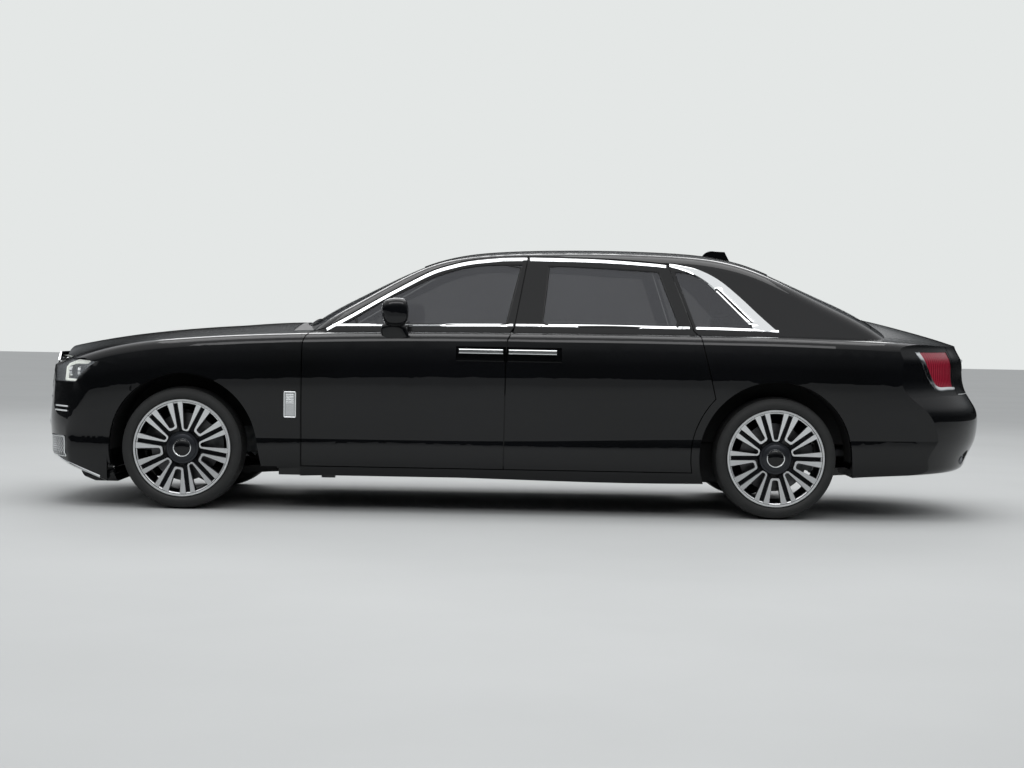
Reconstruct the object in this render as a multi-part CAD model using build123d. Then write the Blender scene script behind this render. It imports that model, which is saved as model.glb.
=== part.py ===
from build123d import *
from bisect import bisect_right
from math import atan2, cos, degrees, pi, radians, sin, sqrt, tan
import os

# Large four-door saloon with rear-hinged back doors. Millimetres. +X forward, +Y left, +Z up.
# The origin is on the ground, below the middle of the car.

# ---- Overall sizes
WHEELBASE = 3465.0
FRONT_OVERHANG = 915.0
REAR_OVERHANG = 1336.0
BODY_WIDTH = 1978.0
ROOF_HEIGHT = 1586.0
BELT_HEIGHT = 1066.0
GROUND_CLEARANCE = 197.0

# ---- Walls, gaps and glass
PANEL = 45.0
DOOR_THICKNESS = 130.0
FRAME = 42.0
SHUT_GAP = 5.5
SEAM = 0.4
GLASS = 5.0
GLASS_INSET = 6.0
FREE_EDGE_ANGLE = 16.0

# ---- Wheels
TYRE_RADIUS = 358.0
RIM_RADIUS = 284.0
FRONT_TYRE_WIDTH = 255.0
REAR_TYRE_WIDTH = 285.0
FRONT_WHEEL_FACE = 950.0
REAR_WHEEL_FACE = 960.0
ARCH_RADIUS = 437.0
REAR_ARCH_RADIUS = 448.0
LINER = 12.0
SPOKE_PAIRS = 10
HUB_RADIUS = 92.0
SPINDLE_RADIUS = 34.0
RUNNING_CLEARANCE = 0.3
DISC_RADIUS = 200.0
DISC_THICKNESS = 34.0
KINGPIN_Y = 740.0

# ---- Cabin
FLOOR_BOTTOM = 210.0
PAD_BOTTOM = 188.0
FLOOR = 40.0
SEAT_Y = 375.0
STEERING_WHEEL_RADIUS = 190.0
COLUMN_TILT = 24.0

LENGTH = FRONT_OVERHANG + WHEELBASE + REAR_OVERHANG
NOSE_X = LENGTH / 2
TAIL_X = -LENGTH / 2
FRONT_AXLE_X = NOSE_X - FRONT_OVERHANG
REAR_AXLE_X = TAIL_X + REAR_OVERHANG
WHEEL_Z = TYRE_RADIUS

# The outlines below are drawn on this grid; along(), out() and up() stretch it to the sizes above.
DRAWN_X = (-2858.0, -1522.0, 1943.0, 2858.0)
DRAWN_Z = (197.0, 1066.0, 1586.0)
DRAWN_HALF_WIDTH = 989.0


def stretch(value, drawn, real):
    """Move a drawn coordinate to the real grid, evenly between two grid lines."""
    cell = min(max(bisect_right(drawn, value) - 1, 0), len(drawn) - 2)
    share = (value - drawn[cell]) / (drawn[cell + 1] - drawn[cell])
    return real[cell] + share * (real[cell + 1] - real[cell])


def along(x):
    return stretch(x, DRAWN_X, (TAIL_X, REAR_AXLE_X, FRONT_AXLE_X, NOSE_X))


def out(y):
    return y * BODY_WIDTH / 2 / DRAWN_HALF_WIDTH


def up(z):
    return stretch(z, DRAWN_Z, (GROUND_CLEARANCE, BELT_HEIGHT, ROOF_HEIGHT))


def at(x, y, z):
    return Vector(along(x), out(y), up(z))


def smooth(points):
    """A function through (x, value) points in rising x, with no kink."""
    xs = [p[0] for p in points]
    ys = [p[1] for p in points]
    runs = [b - a for a, b in zip(xs, xs[1:])]
    slopes = [(b - a) / run for a, b, run in zip(ys, ys[1:], runs)]
    tangents = [slopes[0]]
    for i in range(1, len(xs) - 1):
        tangents.append((slopes[i - 1] * runs[i] + slopes[i] * runs[i - 1]) / (runs[i - 1] + runs[i]))
    tangents.append(slopes[-1])

    def value(x):
        if x <= xs[0]:
            return ys[0] + tangents[0] * (x - xs[0])
        if x >= xs[-1]:
            return ys[-1] + tangents[-1] * (x - xs[-1])
        i = bisect_right(xs, x) - 1
        t = (x - xs[i]) / runs[i]
        start = (1 + 2 * t) * (1 - t) ** 2 * ys[i] + t * (1 - t) ** 2 * runs[i] * tangents[i]
        end = t * t * (3 - 2 * t) * ys[i + 1] + t * t * (t - 1) * runs[i] * tangents[i + 1]
        return start + end

    return value


# ---- Lines of the body, as (x, value)
waist = smooth([(-2900, 700), (-2700, 800), (-2500, 872), (-2300, 920), (-2000, 962), (-1522, 986),
                (-800, 989), (0, 989), (1000, 987), (1500, 982), (1943, 972), (2200, 954),
                (2400, 925), (2574, 868), (2700, 800), (2900, 660)])
shoulder = smooth([(-2900, 930), (-2700, 990), (-2495, 1025), (-2200, 1048), (-1900, 1058), (-1522, 1066),
                   (-1100, 1068), (0, 1066), (600, 1059), (1000, 1050), (1300, 1039), (1500, 1030),
                   (1700, 1019), (1900, 1004), (2100, 985), (2300, 955), (2500, 905), (2700, 835),
                   (2900, 750)])
deck = smooth([(-2900, 965), (-2739, 1022), (-2644, 1068), (-2549, 1092), (-2421, 1120), (-2294, 1155),
               (-2135, 1200), (-1800, 1190), (-1300, 1120), (-800, 1085), (0, 1085), (700, 1092),
               (1100, 1102), (1371, 1104), (1560, 1091), (1749, 1077), (1939, 1061), (2128, 1042),
               (2317, 1019), (2507, 990), (2633, 966), (2727, 946), (2834, 915), (2900, 893)])
underside = smooth([(-2900, 290), (-2500, 272), (-2000, 250), (-1600, 215), (-1083, 200), (1435, 197),
                    (2000, 160), (2402, 150), (2900, 150)])
crease = smooth([(-2900, 470), (-1016, 459), (0, 432), (1250, 425), (2900, 420)])
roofline = smooth([(-2300, 1110), (-2105, 1208), (-1913, 1299), (-1722, 1384), (-1512, 1470), (-1340, 1531),
                   (-1150, 1563), (-896, 1580), (-516, 1586), (-200, 1581), (115, 1565), (304, 1543),
                   (430, 1516), (556, 1475), (682, 1422), (807, 1360), (931, 1298), (1057, 1232),
                   (1182, 1160), (1276, 1108), (1400, 1036)])
cabin_width = smooth([(-2300, 725), (-2000, 775), (-1500, 835), (-1000, 862), (-400, 872), (200, 870),
                      (700, 858), (1132, 826), (1400, 790)])
crown = smooth([(-2300, 95), (-1900, 84), (-1500, 70), (-1130, 58), (-500, 54), (0, 52), (300, 46),
                (520, 42), (695, 50), (987, 64), (1276, 80), (1400, 86)])
# Nose and tail by height, as (z, x) on the centre line
nose = smooth([(100, 2330), (150, 2480), (200, 2680), (270, 2810), (400, 2852), (500, 2858), (650, 2850),
               (800, 2842), (900, 2836), (1000, 2825), (1250, 2790)])
tail = smooth([(100, -2450), (200, -2600), (280, -2715), (342, -2790), (434, -2834), (540, -2857),
               (600, -2857), (660, -2840), (740, -2788), (860, -2756), (1000, -2733), (1060, -2700),
               (1250, -2600)])

HULL_STATIONS = (-2900, -2700, -2500, -2300, -2000, -1522, -1000, -400, 200, 800, 1300, 1600, 1943, 2200,
                 2400, 2574, 2700, 2900)
CABIN_STATIONS = (-2300, -2105, -1850, -1600, -1400, -1200, -896, -516, -200, 115, 304, 490, 682, 931,
                  1182, 1400)
PLAN_LEVELS = (100, 200, 270, 340, 434, 540, 650, 740, 860, 950, 1050, 1250)
SHOULDER_ROUND = 62.0
CABIN_FOOT = 800.0
CABIN_BASE = 1000.0
TUMBLEHOME = 0.4576
BELT_LINE = 1085.0


def hull_section(x, side, cover):
    """Cross-section of the lower body, `side` inside the flank and `cover` inside the top and bottom."""
    half = waist(x) - side
    top = shoulder(x) - cover
    middle = deck(x) - cover
    bottom = underside(x) + cover
    fold = crease(x)
    flank_top = (half - 14, top - SHOULDER_ROUND + 8)
    inner = (half - SHOULDER_ROUND - 28, top)

    def flank(s):
        low = Edge.make_spline([at(x, s * (half - 78), bottom), at(x, s * (half - 44), bottom + 90),
                                at(x, s * (half - 34), fold)])
        side_edge = Edge.make_spline(
            [at(x, s * (half - 34), fold), at(x, s * half, fold + 0.46 * (flank_top[1] - fold)),
             at(x, s * flank_top[0], flank_top[1])],
            tangents=[Vector(0, s * 0.20, 1), Vector(0, -s * 0.16, 1)])
        shoulder_edge = Edge.make_spline([at(x, s * flank_top[0], flank_top[1]),
                                          at(x, s * inner[0], inner[1])],
                                         tangents=[Vector(0, -s * 0.16, 1), Vector(0, -s, 0.10)])
        return [low, side_edge, shoulder_edge]

    cover_edge = Edge.make_spline([at(x, inner[0], inner[1]), at(x, 0, middle), at(x, -inner[0], inner[1])],
                                  tangents=[Vector(0, -1, 0.10), Vector(0, -1, -0.10)])
    floor_edge = Edge.make_line(at(x, 78 - half, bottom), at(x, half - 78, bottom))
    return Wire(flank(1) + [cover_edge] + flank(-1)[::-1] + [floor_edge])


def end_curve(z, end, bulge, inset):
    """Nose or tail seen from above at height z, from the left side to the right."""
    sign = 1 if end > 0 else -1
    x = end - sign * inset
    points = [(0, 0), (300, 0.08), (500, 0.30), (680, 0.80), (850, 1.72), (1100, 4.2)]
    half = [at(x - sign * share * bulge, y, z) for y, share in points]
    other = [Vector(p.X, -p.Y, p.Z) for p in half[1:]]
    return Edge.make_spline(half[::-1] + other)


def plan_section(z, inset):
    """Horizontal section that rounds the nose and the tail."""
    front_bulge = 150 + 0.06 * max(z - 500, 0)
    rear_bulge = 215
    front = end_curve(z, nose(z), front_bulge, inset)
    rear = end_curve(z, tail(z), rear_bulge, inset)
    return Wire([front, Edge.make_line(front @ 1, rear @ 1), rear, Edge.make_line(rear @ 0, front @ 0)])


def hull(side, cover, ends):
    """The lower body as a solid, inside the outer skin by the given distances."""
    lengthwise = Solid.make_loft([hull_section(x, side, cover) for x in HULL_STATIONS])
    upright = Solid.make_loft([plan_section(z, ends) for z in PLAN_LEVELS])
    return lengthwise & upright


def cabin_section(x, inset):
    """Cross-section of the cabin above the belt line."""
    top = roofline(x) - inset
    half = cabin_width(x) - inset * 1.1
    drop = crown(x)
    corner_y = half
    for _ in range(20):
        corner_z = top - drop * (corner_y / 700) ** 2
        corner_y = half - TUMBLEHOME * (corner_z - BELT_LINE)
    radius = 58.0
    lean = sqrt(1 + TUMBLEHOME ** 2)
    side_y = corner_y + TUMBLEHOME * radius / lean
    side_z = corner_z - radius / lean
    roof_y = corner_y - radius
    roof_z = top - drop * (roof_y / 700) ** 2
    slope = 2 * drop * roof_y / 700 ** 2
    foot_y = half + TUMBLEHOME * (BELT_LINE - CABIN_FOOT)

    def flank(s):
        side_edge = Edge.make_line(at(x, s * foot_y, CABIN_FOOT), at(x, s * side_y, side_z))
        corner = Edge.make_spline([at(x, s * side_y, side_z), at(x, s * roof_y, roof_z)],
                                  tangents=[Vector(0, -s * TUMBLEHOME, 1), Vector(0, -s, slope)])
        return [side_edge, corner]

    mid_z = top - drop * (roof_y / 1400) ** 2
    roof = Edge.make_spline([at(x, roof_y, roof_z), at(x, roof_y / 2, mid_z), at(x, 0, top),
                             at(x, -roof_y / 2, mid_z), at(x, -roof_y, roof_z)])
    foot = Edge.make_line(at(x, -foot_y, CABIN_FOOT), at(x, foot_y, CABIN_FOOT))
    return Wire(flank(1) + [roof] + flank(-1)[::-1] + [foot])


def cabin(inset):
    """The cabin above the belt as a solid, inside the outer skin by `inset`."""
    solid = Solid.make_loft([cabin_section(x, inset) for x in CABIN_STATIONS])
    return solid & block((-2400, 1500), (-1100, 1100), (CABIN_BASE, 1700))


# ---- Shapes for cutting
def block(xs, ys, zs):
    """A box between drawn coordinates."""
    low = at(xs[0], ys[0], zs[0])
    high = at(xs[1], ys[1], zs[1])
    return solid_box(low, high)


def solid_box(low, high):
    low = Vector(low)
    size = Vector(high) - low
    return Solid.make_box(size.X, size.Y, size.Z, Plane(low))


def face_of(runs, place):
    """A face inside an outline of runs; a run of two points is straight and a longer one is a curve."""
    edges = []
    for run in runs:
        points = [place(p) for p in run]
        edges.append(Edge.make_line(*points) if len(points) == 2 else Edge.make_spline(points))
    return Face(Wire(edges))


def side_prism(runs, inner, outer):
    """An outline in side view, as drawn (x, z), made solid between two widths."""
    face = face_of(runs, lambda p: Vector(along(p[0]), inner, up(p[1])))
    return Solid.extrude(face, Vector(0, outer - inner, 0))


def plan_prism(runs, low, high):
    """An outline seen from above, as drawn (x, y), made solid between two heights."""
    face = face_of(runs, lambda p: Vector(along(p[0]), out(p[1]), low))
    return Solid.extrude(face, Vector(0, 0, high - low))


def grow(runs, distance):
    """Move every point of a closed outline outward by a distance."""
    corners = [p for run in runs for p in run[:-1]]
    area = sum(a[0] * b[1] - b[0] * a[1] for a, b in zip(corners, corners[1:] + corners[:1]))
    sign = 1 if area > 0 else -1
    moved = {}
    for i, p in enumerate(corners):
        before = corners[i - 1]
        after = corners[(i + 1) % len(corners)]
        first = atan2(p[1] - before[1], p[0] - before[0])
        second = atan2(after[1] - p[1], after[0] - p[0])
        turn = (second - first + pi) % (2 * pi) - pi
        middle = first + turn / 2
        reach = distance / max(cos(turn / 2), 0.3)
        moved[p] = (p[0] + sign * reach * sin(middle), p[1] - sign * reach * cos(middle))
    return [[moved[p] for p in run] for run in runs]


def mirrored(shape):
    return shape.mirror(Plane.XZ)


def solids_of(shape):
    """The solids of a shape as one plain compound or solid, without crumbs."""
    parts = [s for s in shape.solids() if s.volume > 1000]
    return parts[0] if len(parts) == 1 else Compound(children=parts)


parts = {}


def keep(name, shape):
    parts[name] = solids_of(shape)


# ---- Master volumes
OUTER_HULL = hull(0, 0, 0)
INNER_HULL = hull(PANEL, PANEL, PANEL)
DOOR_HULL = hull(DOOR_THICKNESS, PANEL, PANEL)
OUTER_CABIN = cabin(0)
INNER_CABIN = cabin(FRAME)
GLASS_SKIN = cabin(GLASS_INSET) - cabin(GLASS_INSET + GLASS)
OUTER = OUTER_HULL + OUTER_CABIN
SHELL = OUTER - INNER_HULL - INNER_CABIN
DOOR_WALL = OUTER - DOOR_HULL - INNER_CABIN
UNDER_PANELS = hull(PANEL + SEAM, PANEL + SEAM, PANEL + SEAM)

# ---- Outlines in side view, as drawn (x, z)
FRONT_DOOR = [[(1250, 262), (1250, 960)], [(1250, 960), (1240, 1010), (1209, 1052)],
              [(1209, 1052), (1132, 1074)],
              [(1132, 1074), (987, 1158), (812, 1262), (695, 1329), (520, 1424), (402, 1466), (285, 1494),
               (108, 1516), (0, 1522)],
              [(0, 1522), (-64, 1522)], [(-64, 1522), (13, 1097)], [(13, 1097), (52, 1020)],
              [(52, 1020), (60, 951)], [(60, 951), (64, 262)], [(64, 262), (1250, 262)]]
REAR_ARC = [(REAR_AXLE_X + 494 * cos(radians(a)), WHEEL_Z + 494 * sin(radians(a)))
            for a in (43.5, 30, 15, 0, -11.2)]
REAR_DOOR = [[(69, 262), (65, 951)], [(65, 951), (57, 1020)], [(57, 1020), (18, 1097)],
             [(18, 1097), (-59, 1522)], [(-59, 1522), (-66, 1523)],
             [(-66, 1523), (-127, 1523), (-481, 1518), (-777, 1502), (-893, 1491)],
             [(-893, 1491), (-1040, 1093)], [(-1040, 1093), (-1075, 1059)],
             [(-1075, 1059), (-1120, 880), REAR_ARC[0]], REAR_ARC, [REAR_ARC[-1], (69, 262)]]
FRONT_GLASS = [[(1018, 1100), (917, 1158), (811, 1229), (694, 1291), (519, 1377), (402, 1420), (284, 1450),
                (108, 1466), (-26, 1468)], [(-26, 1468), (60, 1100)], [(60, 1100), (1018, 1100)]]
REAR_GLASS = [[(-181, 1466), (-141, 1104)], [(-141, 1104), (-962, 1104)], [(-962, 1104), (-840, 1441)],
              [(-840, 1441), (-482, 1459), (-181, 1466)]]
QUARTER_GLASS = [[(-932, 1438), (-1054, 1104)], [(-1054, 1104), (-1376, 1104)],
                 [(-1376, 1104), (-1374, 1152)],
                 [(-1374, 1152), (-1253, 1264), (-1133, 1374), (-1013, 1434), (-932, 1438)]]

# ---- Outlines from above, as drawn (x, y)
SCREEN_FOOT = [(1150, 735), (1266, 400), (1300, 0), (1266, -400), (1150, -735)]
HEADER = [(545, -598), (572, -300), (582, 0), (572, 300), (545, 598)]
REAR_HEADER = [(-1500, 566), (-1528, 300), (-1538, 0), (-1528, -300), (-1500, -566)]
WINDSCREEN = [SCREEN_FOOT, [SCREEN_FOOT[-1], HEADER[0]], HEADER, [HEADER[-1], SCREEN_FOOT[0]]]
REAR_WINDOW = [REAR_HEADER, [(-1500, -566), (-2040, -640)],
               [(-2040, -640), (-2108, -350), (-2128, 0), (-2108, 350), (-2040, 640)],
               [(-2040, 640), (-1500, 566)]]
BONNET_HINGE_EDGE = [(1322, -735), (1318, 0), (1322, 735)]
BONNET_SIDE = [(1750, 712), (2100, 689), (2460, 640), (2690, 520)]
BONNET = [BONNET_HINGE_EDGE[::-1], [(1322, -735), (1750, -712)], [(x, -y) for x, y in BONNET_SIDE],
          [(2690, -520), (2762, -300), (2780, 0), (2762, 300), (2690, 520)],
          BONNET_SIDE[::-1], [(1750, 712), (1322, 735)]]
BOOT_LID = [[(-2110, 655), (-2150, 350), (-2166, 0), (-2150, -350), (-2110, -655)],
            [(-2110, -655), (-2400, -655), (-3000, -640)], [(-3000, -640), (-3000, 640)],
            [(-3000, 640), (-2400, 655), (-2110, 655)]]
COWL = [SCREEN_FOOT, [(1150, -735), (1322, -735)], BONNET_HINGE_EDGE, [(1322, 735), (1150, 735)]]
ROOF = [HEADER[::-1], [(545, -598), (545, -640)], [(545, -640), (0, -628), (-700, -618), (-1500, -596)],
        [(-1500, -596), (-1500, -566)], REAR_HEADER[::-1], [(-1500, 566), (-1500, 596)],
        [(-1500, 596), (-700, 618), (0, 628), (545, 640)], [(545, 640), (545, 598)]]

BUMPER_LINE = ((2434, 854), (2270, 828), (2232, 690))
REAR_BUMPER_LINE = [(-1865, 640), (-2070, 703), (-2245, 722), (-2537, 736), (-2900, 736)]
BOOT_OPENING_Z = 742.0
HEADLAMP = [[(2452, 852), (2800, 880)], [(2800, 880), (2800, 728)], [(2800, 728), (2596, 728)],
            [(2596, 728), (2540, 790), (2452, 852)]]
TAIL_LAMP = [[(-2338, 990), (-2900, 1002)], [(-2900, 1002), (-2900, 772)], [(-2900, 772), (-2486, 772)],
             [(-2486, 772), (-2430, 830), (-2380, 930), (-2338, 990)]]
GRILLE = [[(-330, 440), (330, 440)], [(330, 440), (372, 480)], [(372, 480), (390, 850)],
          [(390, 850), (350, 900)], [(350, 900), (-350, 900)], [(-350, 900), (-390, 850)],
          [(-390, 850), (-372, 480)], [(-372, 480), (-330, 440)]]

RAIL_Y = 712.0
# Past the end, side and top of the car, for cutting right through
BEYOND_END = 3000.0
BEYOND_SIDE = 1200.0
BEYOND_TOP = 1700.0
LEFT = block((-BEYOND_END, BEYOND_END), (0, 1300), (0, BEYOND_TOP))
HEIGHTS = (150, 262, 430, 700, 951, 1012, 1066, 1097, 1300, 1522, 1650)
SKIN_AT_B = (900, 922, 955, 989, 985, 975, 905, 866, 773, 671, 612)
GAP_X = (67, 66.5, 65.5, 64, 62.5, 56, 31, 15.5, -21.5, -61.5, -84.5)


def free_edge(relief):
    """The wedge between the free edges of the two doors; relief narrows it to the pillar behind them."""
    sections = []
    for x, skin, z in zip(GAP_X, SKIN_AT_B, HEIGHTS):
        lean = tan(radians(FREE_EDGE_ANGLE))
        deep = 260
        start = 0 if relief == 0 else (relief + 2) / lean
        near = max(SHUT_GAP / 2 - relief, 0) + lean * start - (relief if relief else 0) + 0.01
        far = SHUT_GAP / 2 + lean * deep - relief
        points = [at(x + far, skin - deep, z), at(x + near, skin - start, z)]
        if relief == 0:
            points += [at(x + near, skin + 200, z), at(x - near, skin + 200, z)]
        points += [at(x - near, skin - start, z), at(x - far, skin - deep, z)]
        sections.append(Wire.make_polygon(points))
    return Solid.make_loft(sections, ruled=True)


def arch(x, radius, face, inner, flare):
    """The space a wheel arch leaves: a round opening with its rear foot flared out."""
    tunnel = Solid.make_cylinder(radius, face - inner, Plane(Vector(x, inner, WHEEL_Z), z_dir=(0, 1, 0)))
    foot = [[(x - radius * 0.995, WHEEL_Z + 40), (x - radius - flare, 90)],
            [(x - radius - flare, 90), (x + radius * 0.9, 90)],
            [(x + radius * 0.9, 90), (x, WHEEL_Z)], [(x, WHEEL_Z), (x - radius * 0.995, WHEEL_Z + 40)]]
    face_xz = face_of(foot, lambda p: Vector(p[0], inner, p[1]))
    return tunnel + Solid.extrude(face_xz, Vector(0, face - inner, 0))


FRONT_HOUSE = 486.0
REAR_HOUSE = 640.0
front_arch = arch(FRONT_AXLE_X, ARCH_RADIUS, BEYOND_SIDE, FRONT_HOUSE, 60)
rear_arch = arch(REAR_AXLE_X, REAR_ARCH_RADIUS, BEYOND_SIDE, REAR_HOUSE, 24)
arches = front_arch + rear_arch + mirrored(front_arch) + mirrored(rear_arch)

# ---- Doors
door_holes = side_prism(FRONT_DOOR, 300, BEYOND_SIDE) + side_prism(REAR_DOOR, 300, BEYOND_SIDE)
pillar_wedge = free_edge(SHUT_GAP)
windows = side_prism(FRONT_GLASS, 300, BEYOND_SIDE) + side_prism(REAR_GLASS, 300, BEYOND_SIDE)
HANDLE_Z = 952.0
cup = block((-262, 352), (958, 1100), (893, 980))


STRIKER_Z = 900.0
STRIKER = 16.0
roof_zone = plan_prism(ROOF, up(1300), BEYOND_TOP)
glass_hole = plan_prism(WINDSCREEN, up(1000), BEYOND_TOP)
rear_glass_hole = plan_prism(REAR_WINDOW, up(1100), BEYOND_TOP)
not_door = (plan_prism(grow(ROOF, SHUT_GAP), up(1300), BEYOND_TOP)
            + plan_prism(grow(WINDSCREEN, SHUT_GAP), up(1000), BEYOND_TOP)
            + plan_prism(grow(COWL, 30), up(900), BEYOND_TOP))
striker = block((20, 108), (905, 930), (STRIKER_Z, STRIKER_Z + STRIKER))
striker_slot = block((-4, 132), (700, 938), (STRIKER_Z - RUNNING_CLEARANCE, STRIKER_Z + STRIKER
                                             + RUNNING_CLEARANCE))


def door(outline):
    shut = side_prism(grow(outline, -SHUT_GAP), 560, BEYOND_SIDE) - free_edge(0)
    return ((DOOR_WALL & LEFT) & shut) - not_door - striker_slot


def rest(x, y, low):
    """A buffer on the body's edge at drawn (x, y) that a closed panel lies on."""
    ledge = block((x - 25, x + 25), (y - 30, y + 32), (low, low + 120)) & UNDER_PANELS
    root = block((x - 25, x + 25), (y + 9, y + 32), (low, low + 48))
    return ledge + root


def handle(x0, x1):
    """A bright bar standing off a shallow cup on two feet."""
    bar = block((x0, x1), (984, 1003), (HANDLE_Z - 14, HANDLE_Z + 14))
    bar = bar.fillet(6, bar.edges().filter_by(Axis.X))
    feet = [block((x, x + 26), (955, 985), (HANDLE_Z - 9, HANDLE_Z + 9)) for x in (x0 + 14, x1 - 40)]
    return bar + feet[0] + feet[1]


front_door = door(FRONT_DOOR) - windows
rear_door = door(REAR_DOOR) - windows - cup
front_door = front_door - cup
front_pane = GLASS_SKIN & side_prism(FRONT_GLASS, 300, BEYOND_SIDE)
rear_pane = GLASS_SKIN & side_prism(REAR_GLASS, 300, BEYOND_SIDE)
front_handle = handle(80, 335)
rear_handle = handle(-233, 46)
mirror_head = Solid.make_loft([
    Wire.make_polygon([at(x, 898, z0), at(x, 1074, z0 + 8), at(x, 1074, z1 - 6), at(x, 898, z1)])
    for x, z0, z1 in ((640, 1112, 1236), (700, 1096, 1244), (768, 1118, 1240), (786, 1150, 1222))])
mirror_foot = side_prism([[(628, 1012), (776, 1030)], [(776, 1030), (760, 1128)],
                          [(760, 1128), (672, 1128)],
                          [(672, 1128), (628, 1012)]], 905, 950)
mirror = mirror_head + mirror_foot - front_door

for side, flip in (("left", lambda s: s), ("right", mirrored)):
    keep("front_door_" + side, flip(front_door))
    keep("front_door_glass_" + side, flip(front_pane))
    keep("front_door_handle_" + side, flip(front_handle - front_door))
    keep("door_mirror_" + side, flip(mirror))
    keep("rear_door_" + side, flip(rear_door))
    keep("rear_door_glass_" + side, flip(rear_pane))
    keep("rear_door_handle_" + side, flip(rear_handle - rear_door))

# ---- Panels that open, and the roof
bonnet_hole = plan_prism(BONNET, up(600), BEYOND_TOP)
bonnet = SHELL & plan_prism(grow(BONNET, -SHUT_GAP), up(800), BEYOND_TOP)
lid_zone = plan_prism(BOOT_LID, up(BOOT_OPENING_Z), BEYOND_TOP)
lid = SHELL & plan_prism(grow(BOOT_LID, -SHUT_GAP), up(BOOT_OPENING_Z) + SHUT_GAP, BEYOND_TOP)
bonnet = bonnet - block((2400, BEYOND_END), (-BEYOND_SIDE, BEYOND_SIDE), (0, 876))
keep("bonnet", bonnet)
keep("boot_lid", lid - rear_glass_hole)
keep("roof_panel", SHELL & plan_prism(grow(ROOF, -SEAM), up(1300), BEYOND_TOP))
keep("windscreen", GLASS_SKIN & plan_prism(grow(WINDSCREEN, -SEAM), up(1000), BEYOND_TOP))
keep("rear_window", GLASS_SKIN & plan_prism(grow(REAR_WINDOW, -SEAM), up(1100), BEYOND_TOP))

# ---- Fixed outer panels
WING_REAR = 1255.0
front_bumper_zone = side_prism([[BUMPER_LINE[0], BUMPER_LINE[1]], [BUMPER_LINE[1], BUMPER_LINE[2]],
                                [BUMPER_LINE[2], (2100, 400)], [(2100, 400), (2100, 100)],
                                [(2100, 100), (3000, 100)],
                                [(3000, 100), (3000, 1100)], [(3000, 1100), (2800, 1100)],
                                [(2800, 1100), (2700, 880)], [(2700, 880), BUMPER_LINE[0]]], -BEYOND_SIDE,
                                BEYOND_SIDE)
rear_bumper_zone = side_prism([REAR_BUMPER_LINE[:4], [REAR_BUMPER_LINE[3], REAR_BUMPER_LINE[4]],
                               [REAR_BUMPER_LINE[4], (-3000, 100)], [(-3000, 100), (-1800, 100)],
                               [(-1800, 100), REAR_BUMPER_LINE[0]]], -BEYOND_SIDE, BEYOND_SIDE)
headlamp_zone = (side_prism(HEADLAMP, 560, BEYOND_SIDE)
                 + side_prism(HEADLAMP, -BEYOND_SIDE, -560)) & block((2440, BEYOND_END),
                                                                     (-BEYOND_SIDE, BEYOND_SIDE),
                                                                     (600, 1000))
tail_lamp_zone = side_prism(TAIL_LAMP, 668, BEYOND_SIDE) + side_prism(TAIL_LAMP, -BEYOND_SIDE, -668)
body_zone = block((-BEYOND_END, WING_REAR), (-BEYOND_SIDE, BEYOND_SIDE), (0, BEYOND_TOP))
openings = arches + bonnet_hole + lid_zone + glass_hole + rear_glass_hole + headlamp_zone + tail_lamp_zone
outer_skin = SHELL - openings
wing_zone = block((WING_REAR + SEAM, BEYOND_END), (-BEYOND_SIDE, BEYOND_SIDE),
                  (0, BEYOND_TOP)) - front_bumper_zone
wings = outer_skin & wing_zone
wings = wings - block((WING_REAR - 10, 1500), (-BEYOND_SIDE, BEYOND_SIDE), (0, 259))
cowl_zone = plan_prism(COWL, up(1000), BEYOND_TOP)
wing = (wings & block((-BEYOND_END, BEYOND_END), (560, 1300), (0, BEYOND_TOP))) - cowl_zone
wing = wing + rest(1500, 726, 970) + rest(2250, 676, 890)
keep("front_wing_left", wing)
keep("front_wing_right", mirrored(wing))

grille_hole = Solid.extrude(face_of(GRILLE, lambda p: Vector(NOSE_X - 260, out(p[0]), up(p[1]))),
                            Vector(400, 0, 0))
intake = block((2500, BEYOND_END), (-520, 520), (262, 352))
bumper = (SHELL & front_bumper_zone) - openings - grille_hole - intake
keep("front_bumper", bumper.solids().sort_by(SortBy.VOLUME)[-1])
keep("rear_bumper", (SHELL & rear_bumper_zone) - arches)

# Body side: quarter panel, sill, pillars and cantrail in one pressing
quarter = outer_skin & block((-BEYOND_END, -1020), (0, 1300), (0, BEYOND_TOP))
ring = (DOOR_WALL & block((-1200, 1395), (RAIL_Y, 1300), (180, 1060))) - arches
ring = ring - block((WING_REAR - SEAM, 1500), (0, 1300), (0, BEYOND_TOP)).intersect(SHELL)
rail = block((-1030, 1395), (RAIL_Y, 778), (200, 400)) - arches
upper = (OUTER_CABIN - INNER_CABIN) & block((-BEYOND_END, WING_REAR), (0, 1300), (0, BEYOND_TOP))
side_shell = quarter + ring + upper
side_shell = side_shell - rear_bumper_zone - door_holes
side_shell = side_shell - side_prism(QUARTER_GLASS, 300, BEYOND_SIDE) - glass_hole - rear_glass_hole
side_shell = side_shell - roof_zone - bonnet_hole - lid_zone
b_pillar = ((DOOR_WALL & LEFT) & pillar_wedge) + striker - roof_zone - block((-300, 300), (0, RAIL_Y),
                                                                             (0, 700))
side_shell = side_shell & block((-BEYOND_END, 1395), (400, 1300), (0, BEYOND_TOP))
side_shell = side_shell - block((-1300, 1395), (0, RAIL_Y), (0, 700)) - block((-1900, -1300), (0, 641),
                                                                              (0, 700))
pads = [solid_box((x - 40, 730, PAD_BOTTOM), (x + 40, 790, 206)) for x in (1100.0, -850.0)]
side_shell = side_shell - cowl_zone + b_pillar + rail + pads[0] + pads[1] + rest(-2290, 655, 990)
keep("body_side_left", side_shell)
keep("body_side_right", mirrored(side_shell))
quarter_pane = GLASS_SKIN & side_prism(QUARTER_GLASS, 300, BEYOND_SIDE)
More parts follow.
